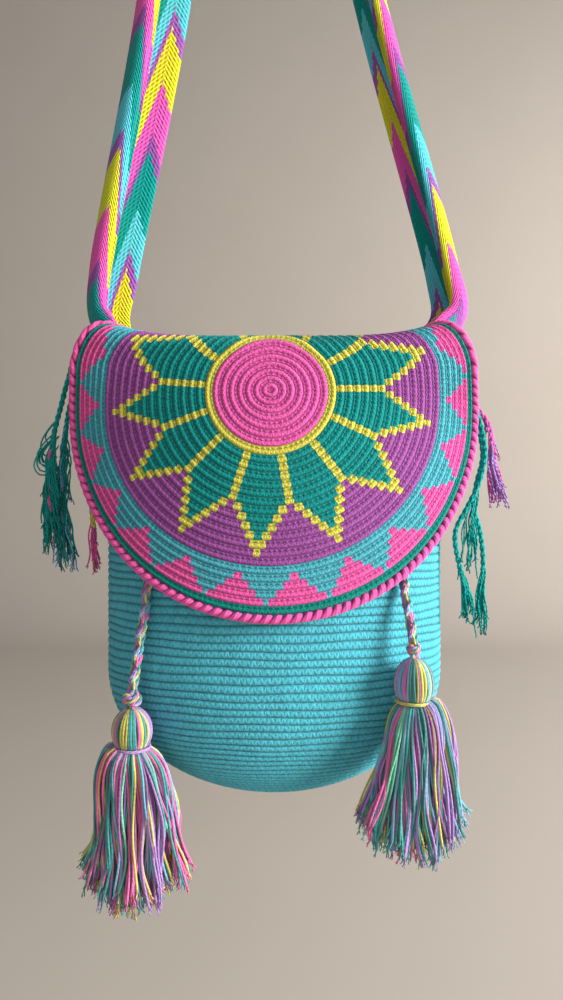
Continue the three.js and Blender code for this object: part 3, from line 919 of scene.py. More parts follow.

# %% [markdown]
# ## Fringe
# Where the strap is sewn on, the loose ends of its warp hang out behind the flap's edge as two-ply
# cords that come undone into single threads. The routes are drawn from the frame. Each cord is two
# strands twisted around its route, and its threads are a piece of their own on the cord. Most of them
# go on along the cord's line and past its end; some stray out of the twist earlier and hang straight
# down; a few were pulled out into loops. Places along a cord are shares of its whole route.

# %% Fringe routes
FRINGES = {
    "left_fringe_front": {
        "points": [(-114, -12, -526), (-121.5, -12, -526), (-127, -15, -543), (-130.5, -18, -560),
                   (-135, -18, -578), (-138, -18, -608), (-139, -18, -642)],
        "yarn": SEA, "mix": [SEA] * 7 + [TEAL] * 5 + [PINK],
        "undone": 0.565, "threads": 64, "spread": 0.1, "lean": 0.06, "tail": 4 * MM,
        "strays": 30, "stray_span": (0.42, 0.555), "stray_length": 46 * MM, "stray_spread": 0.13,
        "loops": 8, "loop_span": (0.44, 0.555), "loop_size": 11 * MM,
    },
    "left_fringe_middle": {
        "points": [(-116, -6, -532), (-124, -11, -548), (-129, -12, -572), (-132, -12, -600),
                   (-131, -12, -628), (-128, -12, -652)],
        "yarn": SEA, "mix": [SEA] * 3 + [TEAL] * 2 + [SKY] * 3,
        "undone": 0.57, "threads": 64, "spread": 0.12, "lean": -0.02, "tail": 6 * MM,
        "strays": 34, "stray_span": (0.31, 0.53), "stray_length": 56 * MM, "stray_spread": 0.1,
        "loops": 0,
    },
    "left_fringe_back": {
        "points": [(-116, 1, -532), (-118, -3, -562), (-117, -5, -600), (-114, -6, -630),
                   (-111, -6, -654)],
        "yarn": LIME, "mix": [PINK] * 4 + [LIME],
        "undone": 0.85, "threads": 18, "spread": 0.12, "lean": -0.08, "tail": 6 * MM,
        "strays": 6, "stray_span": (0.62, 0.81), "stray_length": 20 * MM, "stray_spread": 0.1,
        "loops": 0,
    },
    "right_fringe_front": {
        "points": [(115, -12, -532), (121, -17, -552), (126.5, -18, -572), (129, -18, -588),
                   (125.5, -18, -606), (118, -18, -622), (111, -18, -636), (112, -18, -651),
                   (117, -18, -670)],
        "yarn": SEA, "mix": [SEA],
        "undone": 0.95, "threads": 22, "spread": 0.14, "lean": 0.0, "tail": 20 * MM,
        "strays": 9, "stray_span": (0.53, 0.64), "stray_length": 56 * MM, "stray_spread": 0.13,
        "loops": 0,
    },
    "right_fringe_middle": {
        "points": [(116, -6, -532), (122, -11, -556), (129, -13, -588), (124.5, -13, -610),
                   (123.5, -13, -622), (127.6, -12, -637), (129.5, -12, -655), (128.5, -12, -671)],
        "yarn": SEA, "mix": [SEA],
        "undone": 0.93, "threads": 26, "spread": 0.12, "lean": 0.0, "tail": 28 * MM,
        "strays": 6, "stray_span": (0.56, 0.66), "stray_length": 48 * MM, "stray_spread": 0.1,
        "loops": 0,
    },
    "right_fringe_back": {
        "points": [(116, 1, -532), (126, -3, -556), (134.5, -5, -569), (136.5, -6, -582),
                   (138.5, -6, -600), (142, -6, -614)],
        "yarn": PINK, "mix": [PINK] * 2 + [LILAC] * 3,
        "undone": 0.67, "threads": 40, "spread": 0.16, "lean": -0.06, "tail": 4 * MM,
        "strays": 6, "stray_span": (0.45, 0.63), "stray_length": 28 * MM, "stray_spread": 0.2,
        "loops": 3, "loop_span": (0.4, 0.54), "loop_size": 6 * MM,
    },
}
STRAP_END_X, STRAP_END_Z = 107.8, -528.8
FRINGE_STEP = 1.5 * MM


def fringe_route(points):
    """A cord's whole route, led out of the strap's lower end to the first of its points."""
    x, y, _ = points[0]
    inside = (copysign(STRAP_END_X, x), y, STRAP_END_Z)
    return even_route(smooth_route([at_bag(*point) for point in (inside, *points)]), FRINGE_STEP)


print(len(FRINGES), "fringe cords")

# %% Single threads
DOWN = Vector((0, 0, -1))
HANG_TURN = 0.12
THREAD_STEP = 3 * MM
THREAD_LENGTHS = (0.7, 1.0)
THREAD_WAVES = (0.3, 1.3)
SPREAD_FLATNESS = 0.6
RIPPLE_LENGTH = 24 * MM
RIPPLE_START = 10 * MM
RIPPLE_CROSS = 0.8
LOOP = ((0.0, 0.0), (0.5, 0.5), (0.95, 1.2), (1.0, 1.6), (0.75, 2.0), (0.35, 2.0), (0.1, 1.7))
LOOP_SIZES = (0.6, 1.1)
LOOP_TURNS = (-0.4, 0.3)


def hanging_on(route, length):
    """A route that runs on past its end and turns to hang straight down."""
    step = (route[-1] - route[-2]).length
    heading = (route[-1] - route[-2]).normalized()
    longer = list(route)
    for _ in range(round(length / step)):
        heading = heading.lerp(DOWN, HANG_TURN).normalized()
        longer.append(longer[-1] + heading * step)
    return longer


def loose_thread(chance, line, spread, lean=0.0):
    """A thread along a line that drifts away from it, with ripples of its own."""
    line = even_route(line, THREAD_STEP)
    turn = chance.uniform(0, TURN)
    way = Vector((cos(turn), SPREAD_FLATNESS * sin(turn), 0))
    drift = way * spread * sqrt(chance.random())
    drift.x += lean
    wave = chance.uniform(*THREAD_WAVES) * MM
    phase = chance.uniform(0, TURN)
    kept = max(3, round(len(line) * chance.uniform(*THREAD_LENGTHS)))
    thread = []
    for point, reach in zip(line[:kept], distances(line)):
        angle = TURN * reach / RIPPLE_LENGTH + phase
        ripple = Vector((sin(angle), cos(RIPPLE_CROSS * angle), 0)) * wave
        thread.append(point + drift * reach + ripple * clamp(reach / RIPPLE_START))
    return thread


def looped_thread(chance, start, size):
    """A thread pulled out of the twist into a loop on the side away from the bag."""
    size = size * chance.uniform(*LOOP_SIZES)
    out = Vector((copysign(1.0, start.x - BAG_X), chance.uniform(*LOOP_TURNS), 0))
    points = [start + (out * x - Vector((0, 0, z))) * size for x, z in LOOP]
    return even_route(smooth_route(points), THREAD_STEP)


# %% A cord's threads
THREAD_RADIUS = 0.5 * MM
THREAD_FRAY = 4 * MM
UNDONE_STEPS = 8


def fringe_threads(bm, chance, fringe, whole, undone):
    """Adds all of a cord's loose threads: the ones past its end, the strays and the loops."""
    last = len(whole) - 1
    longer = hanging_on(whole, fringe["tail"])
    routes = []
    for _ in range(fringe["threads"]):
        line = longer[undone - chance.randrange(0, UNDONE_STEPS):]
        routes.append(loose_thread(chance, line, fringe["spread"], fringe["lean"]))
    for _ in range(fringe["strays"]):
        start = round(min(chance.uniform(*fringe["stray_span"]) * last, undone))
        line = hanging_on(whole[start - 1 : start + 1], fringe["stray_length"])
        routes.append(loose_thread(chance, line, fringe["stray_spread"]))
    for _ in range(fringe["loops"]):
        start = whole[round(chance.uniform(*fringe["loop_span"]) * last)]
        routes.append(looped_thread(chance, start, fringe["loop_size"]))
    for number, route in enumerate(routes):
        looped = number >= len(routes) - fringe["loops"]
        yarn = fringe["yarn"] if looped else chance.choice(fringe["mix"])
        lay_frayed(bm, chance, route, THREAD_RADIUS, yarn, THREAD_FRAY)


# %% Fringe cords
FRINGE_RADIUS = 1.8 * MM
FRINGE_STRAND = 1.05 * MM
FRINGE_TWIST = 9 * MM
FRINGE_SEED = 70

for seed, (name, fringe) in enumerate(FRINGES.items()):
    chance = random.Random(FRINGE_SEED + seed)
    whole = fringe_route(fringe["points"])
    undone = round(fringe["undone"] * (len(whole) - 1))
    kept = whole[: undone + 1]
    bm = bmesh.new()
    for ply in twisted(kept, PLIES, FRINGE_RADIUS - FRINGE_STRAND, FRINGE_TWIST):
        lay_strand(bm, ply, FRINGE_STRAND, fringe["yarn"], ROUND_SIDES)
    cord_piece = make_piece(bm, f"{name}_cord", FRINGE_YARN, [name], "bag")
    bm = bmesh.new()
    fringe_threads(bm, chance, fringe, whole, undone)
    threads = make_piece(bm, f"{name}_threads", FRINGE_YARN, (), "bag")
    distances(kept)[-1]

# %% [markdown]
# ## The pouch
# The pouch is worked in rounds from the middle of its base. It is one long grid: columns run around
# the oval, rows run from the base's centre up the outside, over the rim and down the inside to the
# floor. Each crocheted row is a ridge with a sharp groove above and below.

# %% The pouch's rows
ROW_SAMPLES = 1200
WALL_STITCHES = 172
FEWEST_STITCHES = 6
STITCH_WIDTH = 3.05 * MM
BASE_ROUNDS = 6
CENTRE_SHARE = 0.05
RIDGE_ROUNDNESS = 0.5

# Heights up the pouch's side, and how far along its curved outline each one is.
ROW_HEIGHTS = [lerp(BASE_Z, RIM_Z, i / ROW_SAMPLES) for i in range(ROW_SAMPLES + 1)]
outline = [(oval_at(z)[0], z) for z in ROW_HEIGHTS]
outline_steps = [hypot(b[0] - a[0], b[1] - a[1]) for a, b in zip(outline, outline[1:])]
ROW_LENGTHS = list(accumulate(outline_steps, initial=0.0))
ROWS = round(ROW_LENGTHS[-1] / ROW_HEIGHT)
print("pouch has", ROWS, "rows up its side")


def height_of_row(row):
    first, share = between(ROW_LENGTHS, clamp(row / ROWS) * ROW_LENGTHS[-1])
    return lerp(ROW_HEIGHTS[first], ROW_HEIGHTS[first + 1], share)


def pouch_surface(turn, row):
    """The smooth outside of the pouch: a turn around it from the right, and a row number."""
    if row < 0:
        share = max(0.0, 1 + row / BASE_ROUNDS)
        width, depth = oval_at(BASE_Z)
        return Vector((BAG_X + width * share * cos(turn), depth * share * sin(turn), BASE_Z))
    z = height_of_row(row)
    width, depth = oval_at(z)
    x = width * cos(turn)
    return Vector((BAG_X + x, depth * sin(turn), z + rim_rise(x, z)))


def stitches_in(row):
    """How many stitches a row has: fewer towards the middle of the base."""
    width, depth = oval_at(height_of_row(max(row, 0.0)))
    share = max(CENTRE_SHARE, 1 + min(row, 0.0) / BASE_ROUNDS)
    perimeter = TURN * sqrt((width**2 + depth**2) / 2) * share
    return min(WALL_STITCHES, max(FEWEST_STITCHES, round(perimeter / STITCH_WIDTH)))


def ridge(place):
    """The rounded height of one row, from groove to groove."""
    return abs(sin(pi * place)) ** RIDGE_ROUNDNESS


# %% [markdown]
# Handwork is a little uneven, so two slow waves push the rows up and down, but not at the base and the
# rim. The UV map counts stitches and rows, so the finish can draw the two legs of every stitch.

# %% The pouch's mesh
WALL_COLUMNS = 280
ROW_STEPS = (0.0, 0.2, 0.5, 0.8)
INSIDE_STEP = 3
RIDGE = 1.0 * MM
UNEVEN_WAVES = ((0.09, 3, 1.0), (0.06, 11, -0.6))
EVEN_FOOT = (2, 8)
EVEN_RIM = 4
TURN_STEP, UP_STEP = 0.01, 0.2


def pouch_levels():
    """Every level of the grid, as a row number, a depth below the outside and a ridge share."""
    levels = [(-BASE_ROUNDS, 0.0, 0.0)]
    for row in range(-BASE_ROUNDS, ROWS):
        levels += [(row + step, 0.0, ridge(step)) for step in ROW_STEPS if row + step > -BASE_ROUNDS]
    levels += [(ROWS, inside, 0.0) for inside in (0.0, 0.5, 1.0)]
    levels += [(row, 1.0, 0.0) for row in range(ROWS - INSIDE_STEP, 0, -INSIDE_STEP)]
    levels += [(-share * BASE_ROUNDS, 1.0, 0.0) for share in (0.0, 0.5, 1.0)]
    return levels


def pouch_point(turn, row, inside, share):
    """A point of the crocheted wall."""
    relief = -WALL * inside if inside > 0 else (share - 0.5) * RIDGE
    if row < 0:
        return pouch_surface(turn, row) - Vector((0, 0, min(relief, 0.0)))
    uneven = sum(size * sin(waves * turn + slant * row) for size, waves, slant in UNEVEN_WAVES)
    hand = uneven * smooth(row, *EVEN_FOOT) * (1 - smooth(row, ROWS - EVEN_RIM, ROWS)) * (1 - inside)
    return lifted(pouch_surface, turn, row + hand, relief, TURN_STEP, UP_STEP)


def pouch_uv(around, up, foot):
    """Stitches and rows. A face keeps to the number of stitches of the row at its foot."""
    stitches = stitches_in(floor(level_at(wall_levels, foot)[0]))
    return around * stitches, level_at(wall_levels, up)[0] + BASE_ROUNDS


wall_levels = pouch_levels()
pouch_bm = bmesh.new()
shape_grid(
    pouch_bm, WALL_COLUMNS, len(wall_levels) - 1, pouch_uv,
    lambda around, up: pouch_point(TURN * around, *level_at(wall_levels, up)),
)
print("pouch grid has", len(wall_levels), "levels")

# %% [markdown]
# ## Crochet's finish
# A single crochet stitch shows as a V: two steep legs of yarn that meet at the bottom of the row. In
# stitch coordinates a leg is a slanting line, so its height is how near a place is to that line, and
# the raised legs get a painted highlight. Rows meet in a line of painted shade, a little wavy because
# each stitch sits in a gap of the row below. The flap is worked tighter and shows a second line of
# painted shade, under the bar that each stitch leaves behind its V. Handwork is uneven, so soft noise
# pushes the stitches about, and no two take quite the same dye.

# %% Crochet's finish
# A look says where the bar sits in a row, how strong the painted shade is under it and in the groove
# between rows (line), and how wide both shaded lines are.
POUCH_LOOK = {"bar": 0.1, "painted_bar_shade": 0.0, "line": 0.46, "line_width": 0.17}
FLAP_LOOK = {"bar": 0.36, "painted_bar_shade": 0.3, "line": 0.22, "line_width": 0.13}
CROCHET_LEVEL, DARKEST = 0.8, 0.1
LEG_BREADTH, LEG_HIGHLIGHT, LEG_RELIEF = 1.5, 0.3, 0.7
LINE_WAVE = 0.05
STITCH_DRIFT = (190, 1.0)
ROW_DRIFT = (420, 0.16)
FADING = (35, 0.16)
DYE_SHADE = 0.16
GRAIN_SCALE, GRAIN_SHADE = 1700, 0.5
FINE = 3
CROCHET_RELIEF = 0.55 * MM


def crochet_finish(name, colour_of, stitch_of, look):
    """Crochet over a piece's own rows. The colour and the stitch come from functions."""
    finish = Finish(name)
    turn, row = finish.surface_place()
    stitch = stitch_of(turn, row) + finish.speckle(*STITCH_DRIFT)
    across = stitch.fract().from_middle()
    wave = (stitch * TURN).cosine() * LINE_WAVE
    up = row.fract() + wave + finish.speckle(*ROW_DRIFT)
    climb = ((up - look["bar"]) / (1 - look["bar"])).held()
    legs = (1 - abs(across - climb) * LEG_BREADTH).held()
    line = (1 - abs(up).smallest(abs(1 - up)) / look["line_width"]).held()
    painted_bar_shade = (1 - abs(up - look["bar"]) / look["line_width"]).held()
    dye = finish.random((stitch * 2).floor(), row.floor()) - 0.5
    grain = finish.cloud(GRAIN_SCALE, FINE) - 0.5
    # Painted highlight on the raised legs of each V; the dye, grain and fading are the yarn's own
    # tone.
    level = CROCHET_LEVEL + legs * LEG_HIGHLIGHT + dye * DYE_SHADE + grain * GRAIN_SHADE
    level = level + finish.speckle(*FADING)
    # Painted shade in the groove between rows, and on the flap under each bar.
    level = level - line * look["line"] - painted_bar_shade * look["painted_bar_shade"]
    finish.feed("Base Color", finish.shade(colour_of(finish, turn, row), level.largest(DARKEST)))
    relief = legs * LEG_RELIEF + grain - line - painted_bar_shade * (look["painted_bar_shade"] * 2)
    finish.emboss(relief, CROCHET_RELIEF)
    return finish


POUCH_YARN = crochet_finish(
    "pouch_yarn", lambda finish, turn, row: STRAND_COLOURS[TURQUOISE], lambda turn, row: turn,
    POUCH_LOOK,
)
make_piece(pouch_bm, "crocheted_pouch", POUCH_YARN, ["bag_body"], "bag")

# %% [markdown]
# ## The flap's form
# The flap is a round disc, worked from its middle, that is sewn to the back of the rim, lies over the
# mouth and hangs down in front. Flat on a table it is a plain circle. This formula drapes it: it bends
# at the fold, wraps a little around the front, is drawn in where it passes between the straps, and
# rises over the ends of the rim. The spans say where up the disc each of these comes and goes.

# %% The flap's sizes
FLAP_CENTRE_Z = -553.5 * MM
FLAP_FRONT_Y = -63 * MM
FLAP_LEAN = 3.5 * MM
FLAP_WRAP = 230 * MM
WRAP_SPAN = (-40 * MM, 70 * MM)
FOLD_START = 19.7 * MM
FOLD_RADIUS = 7 * MM
INNER_ROUNDS, INNER_ROUND = 21, 4.66 * MM
OUTER_ROUNDS, OUTER_ROUND = 6, 26.6 / 6 * MM
FLAP_ROUNDS = INNER_ROUNDS + OUTER_ROUNDS
FLAP_RADIUS = INNER_ROUNDS * INNER_ROUND + OUTER_ROUNDS * OUTER_ROUND
CORNER_LIFT = 15.5 * MM
CORNER_REACH = 104 * MM
CORNER_STEEPNESS = 4
LIFT_SPANS = (5 * MM, 35 * MM), (60 * MM, 110 * MM)
FLAP_PINCH = 0.34
PINCH_SPANS = (10 * MM, 55 * MM), (62 * MM, 118 * MM)
FLAP_NARROWING = 0.04
NARROW_SPAN = (-40 * MM, 15 * MM)
FLAP_SLIP = 1.5 * MM
FOLD_SLACK = 6.8 * MM
SLACK_SPAN = (-20 * MM, 45 * MM)
BACK_SPAN = (50 * MM, 120 * MM)
print("flap is", round(2 * FLAP_RADIUS, 3), "m across when flat")

# %% The flap's drape
DRAPE_STEP = 0.5 * MM


def swell(value, rise, fall):
    """0, then 1 after the rise, and 0 again after the fall."""
    return smooth(value, *rise) * (1 - smooth(value, *fall))


def flap_surface(across, up):
    """The middle of the draped flap, for a place on the flat disc measured from its centre."""
    pinch = FLAP_PINCH * swell(up, *PINCH_SPANS)
    narrow = 1 - FLAP_NARROWING * smooth(up, *NARROW_SPAN) - pinch
    wrap = across / FLAP_WRAP
    x = FLAP_WRAP * sin(wrap) * narrow
    round_back = FLAP_WRAP * (1 - cos(wrap)) * (1 - smooth(up, *WRAP_SPAN))
    past = up - FOLD_START
    bend = clamp(past / FOLD_RADIUS, 0, pi / 2)
    hang = min(past, 0.0)
    back = max(past - FOLD_RADIUS * pi / 2, 0.0)
    lean = FLAP_LEAN * (hang / (FLAP_RADIUS + FOLD_START)) ** 2
    y = FLAP_FRONT_Y - lean + FOLD_RADIUS * (1 - cos(bend)) + back + round_back
    z = FLAP_CENTRE_Z + FOLD_START + hang + FOLD_RADIUS * sin(bend)
    corner = CORNER_LIFT * (abs(x) / CORNER_REACH) ** CORNER_STEEPNESS * swell(up, *LIFT_SPANS)
    return Vector((BAG_X + x, y, z + corner))


def bunched_flap(across, up):
    """The flap with its crochet slipped down in front and bunched up at the fold."""
    in_front = 1 - smooth(up, *BACK_SPAN)
    slip = FLAP_SLIP + FOLD_SLACK * smooth(up, *SLACK_SPAN)
    return flap_surface(across, up - slip * in_front)


def draped(radius, turn, height):
    """A point off the flap, for a distance and a turn around the disc."""
    across = radius * cos(turn)
    return lifted(bunched_flap, across, radius * sin(turn), height, DRAPE_STEP, DRAPE_STEP)


def round_radius(count):
    """The distance from the middle after so many rounds."""
    inner = min(count, INNER_ROUNDS)
    return inner * INNER_ROUND + (count - inner) * OUTER_ROUND


print("flap's lower edge is at", round(draped(FLAP_RADIUS, -pi / 2, 0.0).z, 3))

# %% [markdown]
# ## The flap
# Like the pouch, the flap is one grid: columns run around the disc and levels run from its middle to
# the edge along the outside, then back along the underside. Every round is a ridge. Use has pulled the
# rounds a few millimetres out at the sides and down beside the fold, which two slow waves around the
# disc describe. The UV map holds the turn around the disc and the number of the round.

# %% The flap's mesh
FLAP_THICKNESS = 3.5 * MM
FLAP_COLUMNS = 460
FLAP_RIDGE = 0.85 * MM
ROUND_PROFILE = ((0.0, 0.0), (0.18, 0.5), (0.36, 0.05), (0.58, 1.0), (0.82, 0.85))
UNDERSIDE_LEVELS = 18
PULL_OUT = (2.8, -0.2, 1.8, 0.6, 1.0)
PULL_AROUND = (0.3, -2.4, 0.7, 1.0, -2.1)
PULL_PEAK = 3.2
PULL_SIDE = -1.8 * MM


def flap_levels():
    """Every level: a round number, the side it is on (1 outside, -1 underneath) and a ridge share."""
    levels = [(i + step, 1, share) for i in range(FLAP_ROUNDS) for step, share in ROUND_PROFILE]
    levels.append((FLAP_ROUNDS, 1, 0.0))
    for i in range(UNDERSIDE_LEVELS + 1):
        levels.append((FLAP_ROUNDS * (1 - i / UNDERSIDE_LEVELS), -1, 0.0))
    return levels


def slow_wave(turn, level, cos_once, sin_once, cos_twice, sin_twice):
    """A level and two slow waves around the disc."""
    once = cos_once * cos(turn) + sin_once * sin(turn)
    return level + once + cos_twice * cos(2 * turn) + sin_twice * sin(2 * turn)


def pulled(radius, turn):
    """Where use has pulled a place of the flat disc to: a little out, around and to one side."""
    share = sin(pi * (radius / FLAP_RADIUS) ** PULL_PEAK)
    out = radius + slow_wave(turn, *PULL_OUT) * MM * share
    around = turn + radians(slow_wave(turn, *PULL_AROUND))
    across = out * cos(around) + PULL_SIDE * (1 - (radius / FLAP_RADIUS) ** 2)
    up = out * sin(around)
    return hypot(across, up), atan2(up, across)


def flap_point(turn, count, side, share):
    """A point of the crocheted flap."""
    height = side * (FLAP_THICKNESS / 2 - 0.5 * FLAP_RIDGE) + share * FLAP_RIDGE
    return draped(*pulled(round_radius(count), turn), height)


disc_levels = flap_levels()
flap_bm = bmesh.new()
shape_grid(
    flap_bm, FLAP_COLUMNS, len(disc_levels) - 1,
    lambda around, up, foot: (around, level_at(disc_levels, up)[0]),
    lambda around, up: flap_point(TURN * around, *level_at(disc_levels, up)),
)
print("flap grid has", len(disc_levels), "levels")

# %% [markdown]
# ## The flap's pattern
# The pattern is counted in rounds, as the maker counts it: a pink middle, a yellow ring, petals with
# yellow spokes between them, purple wedges that grow each round until the petals end in a point, and a
# turquoise border with pink triangles. So the shader needs only the round, and how far a place is from
# the middle line of its petal or triangle. The yarn bulges over each edge in the middle of a round,
# which gives the yellow lines their beads.

# %% The flap's pattern
PETALS, FIRST_TIP = 13, 266.4 / 360
TRIANGLES, FIRST_TRIANGLE = 22, 277.7 / 360
PINK_END, RING_END, WEDGE_START, TIP_ROUND, BORDER_START, LAST_ROUND = 7, 8, 14, 18, 21, 26
SPOKE_HALF = 1.9
PETAL_STEP = 2.5
OUTLINE = 4.0
TRIANGLE_SPAN = 32.8
TRIANGLE_STEP = 4.15
TRIANGLE_START = 21.45
BEAD, BEAD_PLACE = 0.5, 0.6
FLAP_STITCH = 3.1 * MM
FLAP_PINK = srgb(238, 98, 176)
FLAP_YELLOW = srgb(216, 208, 84)
FLAP_TEAL = srgb(10, 142, 138)
FLAP_PURPLE = srgb(160, 84, 160)
FLAP_TURQUOISE = srgb(80, 176, 192)
FLAP_TRIANGLE = srgb(244, 96, 172)
FLAP_DARK = srgb(6, 140, 128)


def from_nearest(turn, count, start):
    """How far a turn is from the nearest of so many marks, as a share of their spacing."""
    place = (turn - start) * count
    return abs(place - place.nearest())


def flap_colour(finish, turn, row):
    """The pattern's colour at a turn around the disc and a round, with lengths in millimetres."""
    number = row.floor()
    bead = BEAD - abs(row.fract() - BEAD_PLACE) * (2 * BEAD)
    spacing = (number + 0.5) * (TURN * INNER_ROUND / MM / PETALS)
    from_tip = from_nearest(turn, PETALS, FIRST_TIP) * spacing
    from_spoke = spacing * 0.5 - from_tip
    petal = finish.mix(from_spoke.below(bead + SPOKE_HALF), FLAP_TEAL, FLAP_YELLOW)
    teal_half = (TIP_ROUND - number) * PETAL_STEP - bead
    wedge = finish.mix(from_tip.below(teal_half + bead * 2 + OUTLINE), FLAP_PURPLE, FLAP_YELLOW)
    wedge = finish.mix(from_tip.below(teal_half), wedge, FLAP_TEAL)
    colour = finish.mix(number.above(WEDGE_START - 0.5), petal, wedge)
    colour = finish.mix(number.below(RING_END), colour, FLAP_YELLOW)
    colour = finish.mix(number.below(PINK_END), colour, FLAP_PINK)
    from_triangle = from_nearest(turn, TRIANGLES, FIRST_TRIANGLE) * TRIANGLE_SPAN
    triangle_half = (number - TRIANGLE_START) * TRIANGLE_STEP + bead
    border = finish.mix(from_triangle.below(triangle_half), FLAP_TURQUOISE, FLAP_TRIANGLE)
    border = finish.mix(number.below(BORDER_START + 0.5), border, FLAP_TURQUOISE)
    border = finish.mix(number.above(LAST_ROUND - 0.5), border, FLAP_DARK)
    return finish.mix(number.above(BORDER_START - 0.5), colour, border)


def flap_stitch(turn, row):
    """Stitches counted around the disc, a whole number of them in each round."""
    around = (row.floor() + 0.5) * (TURN * INNER_ROUND / FLAP_STITCH)
    return turn * around.nearest()


FLAP_YARN = crochet_finish("flap_yarn", flap_colour, flap_stitch, FLAP_LOOK)
flap = make_piece(flap_bm, "patterned_flap", FLAP_YARN, ["flap"], "flap")

# %% [markdown]
# ## The flap's edging
# A border of leaning shell stitches runs around the flap. It is a ring that is swollen once for each
# shell: the shells are round on the side of the flap, lean along it like the strands of a rope, and
# meet in a smooth line outside. Shade is painted into its yarn between the shells, and lines fan over
# each one with painted light on its strands and painted shade between them.

# %% The flap's edging
EDGING_RADIUS = 2.7 * MM
EDGING_GAP = 0.6 * MM
EDGING_RING = FLAP_RADIUS + EDGING_GAP + EDGING_RADIUS
EDGING_SIDES = 14
EDGE_SHARE = 0.84
SHELLS = 143
SHELL_COLUMNS = 10
SHELL_LEAN = 0.32
SHELL_LOW, SHELL_RISE = 0.5, 0.7
SHELL_REACH = 0.6
SHELL_SKEW, SHELL_ROUNDNESS = 0.8, 0.6


def shell_height(place):
    """A hump over one shell, 0 at both ends and steeper at its start."""
    return sin(pi * place**SHELL_SKEW) ** SHELL_ROUNDNESS


def edging_point(along, around):
    """A point of the ring, for a share along it and a share around its section."""
    section = TURN * around
    inward = (0.5 - 0.5 * cos(section)) ** SHELL_REACH
    shell = shell_height((SHELLS * along + SHELL_LEAN * cos(section)) % 1.0)
    reach = EDGING_RADIUS * lerp(EDGE_SHARE, SHELL_LOW + SHELL_RISE * shell, inward)
    return draped(EDGING_RING + reach * cos(section), TURN * along, reach * sin(section))


bm = bmesh.new()
shape_grid(
    bm, SHELLS * SHELL_COLUMNS, EDGING_SIDES, lambda along, around, foot: (along * SHELLS, around),
    edging_point,
)

# %% The edging's finish
SHELL_LEVEL, VALLEY_SHADE = 1.04, 0.6
VALLEY_START, VALLEY_FADE = 0.9, 0.7
SHELL_LINES, LINE_SLANT, LINE_LIGHT_AND_SHADE, LINE_RELIEF = 3, 2, 0.14, 0.4
SHELL_PATCHES = (60, 0.2)
SHELL_FIBRE, SHELL_FIBRE_RELIEF = 1600, 0.5


def shell_finish():
    finish = Finish("shell_yarn")
    shell, section = finish.surface_place()
    lean = (section * TURN).cosine()
    inward = (VALLEY_START - lean * VALLEY_FADE).held()
    place = (shell + lean * SHELL_LEAN).fract()
    across = place.from_middle()
    lines = (place * SHELL_LINES + section * LINE_SLANT).fract().from_middle()
    painted_valley_shade = across * across * across * inward
    patch = finish.speckle(*SHELL_PATCHES)
    # Painted shade in the valleys between shells, and painted light and shade along the strand lines;
    # the patches are the yarn's own tone.
    level = SHELL_LEVEL - painted_valley_shade * VALLEY_SHADE + patch + (lines - 0.5) * LINE_LIGHT_AND_SHADE
    finish.feed("Base Color", finish.shade(STRAND_COLOURS[PINK], level))
    fibre = finish.cloud(SHELL_FIBRE, FINE) * SHELL_FIBRE_RELIEF
    finish.emboss(lines * LINE_RELIEF + fibre, YARN_RELIEF)
    return finish


EDGING_YARN = shell_finish()
edging = make_piece(bm, "flap_shell_edging", EDGING_YARN, ["flap_edging"], "flap")

# %% [markdown]
# ## The strap
# The strap is one woven band, about 72 mm wide, that its own tension curls lengthwise. Its section is
# a half ellipse with a rolled front lip: the back half stays wide, so from the front the inner face
# shows behind the lip. The band is a grid, columns around the section and levels along the route. Its
# herringbone of fine ribs is left to the finish.

# %% The strap's route
BAND_FLAT = 72 * MM
BAND_THICKNESS = 2.6 * MM
STRAP_ROUTE = [
    (-82, -529), (-83.5, -516), (-87.5, -498), (-83.8, -470), (-51, -291), (-27, -60), (-19, -12),
    (0, 5),
    (19, -12), (28, -60), (77.5, -291), (125.3, -470), (130, -498), (120, -516), (119, -529),
]
STRAP_WIDTHS = [18, 20, 24, 29, 32, 22, 12, 10, 12, 16, 17, 19, 21, 20, 18]
STRAP_DEPTHS = [59, 52, 36, 30, 30, 46, 58, 60, 58, 46, 32, 30, 36, 52, 59]
STRAP_LIPS = [1.0, 0.9, 0.42, 0.34, 0.32, 0.5, 1.0, 1.0, 1.0, 0.7, 0.5, 0.45, 0.5, 0.9, 1.0]
PER_SPAN = 60
TANGENT_REACH = 2

strap_line = smooth_route([Vector((x * MM, 0, z * MM)) for x, z in STRAP_ROUTE], PER_SPAN)
strap_along = distances(strap_line)
STRAP_LENGTH = strap_along[-1]
print("strap is", round(STRAP_LENGTH, 3), "m long")


def strap_station(reach):
    """The strap at a distance along it: place, inward direction, width, depth and lip share."""
    first, share = between(strap_along, reach)
    place = strap_line[first].lerp(strap_line[first + 1], share)
    low = max(first - TANGENT_REACH, 0)
    high = min(first + 1 + TANGENT_REACH, len(strap_line) - 1)
    tangent = (strap_line[high] - strap_line[low]).normalized()
    knot = (first + share) / PER_SPAN
    row = min(int(knot), len(STRAP_ROUTE) - 2)
    width, depth, lip = [
        lerp(table[row], table[row + 1], knot - row)
        for table in (STRAP_WIDTHS, STRAP_DEPTHS, STRAP_LIPS)
    ]
    return place, tangent.cross(Vector((0, -1, 0))), width * MM, depth * MM, lip


# %% The strap's section
LIP_ROLL = 0.85
SECTION_STEP = 0.02
BAND_EDGE = (-1 * MM, 3 * MM)


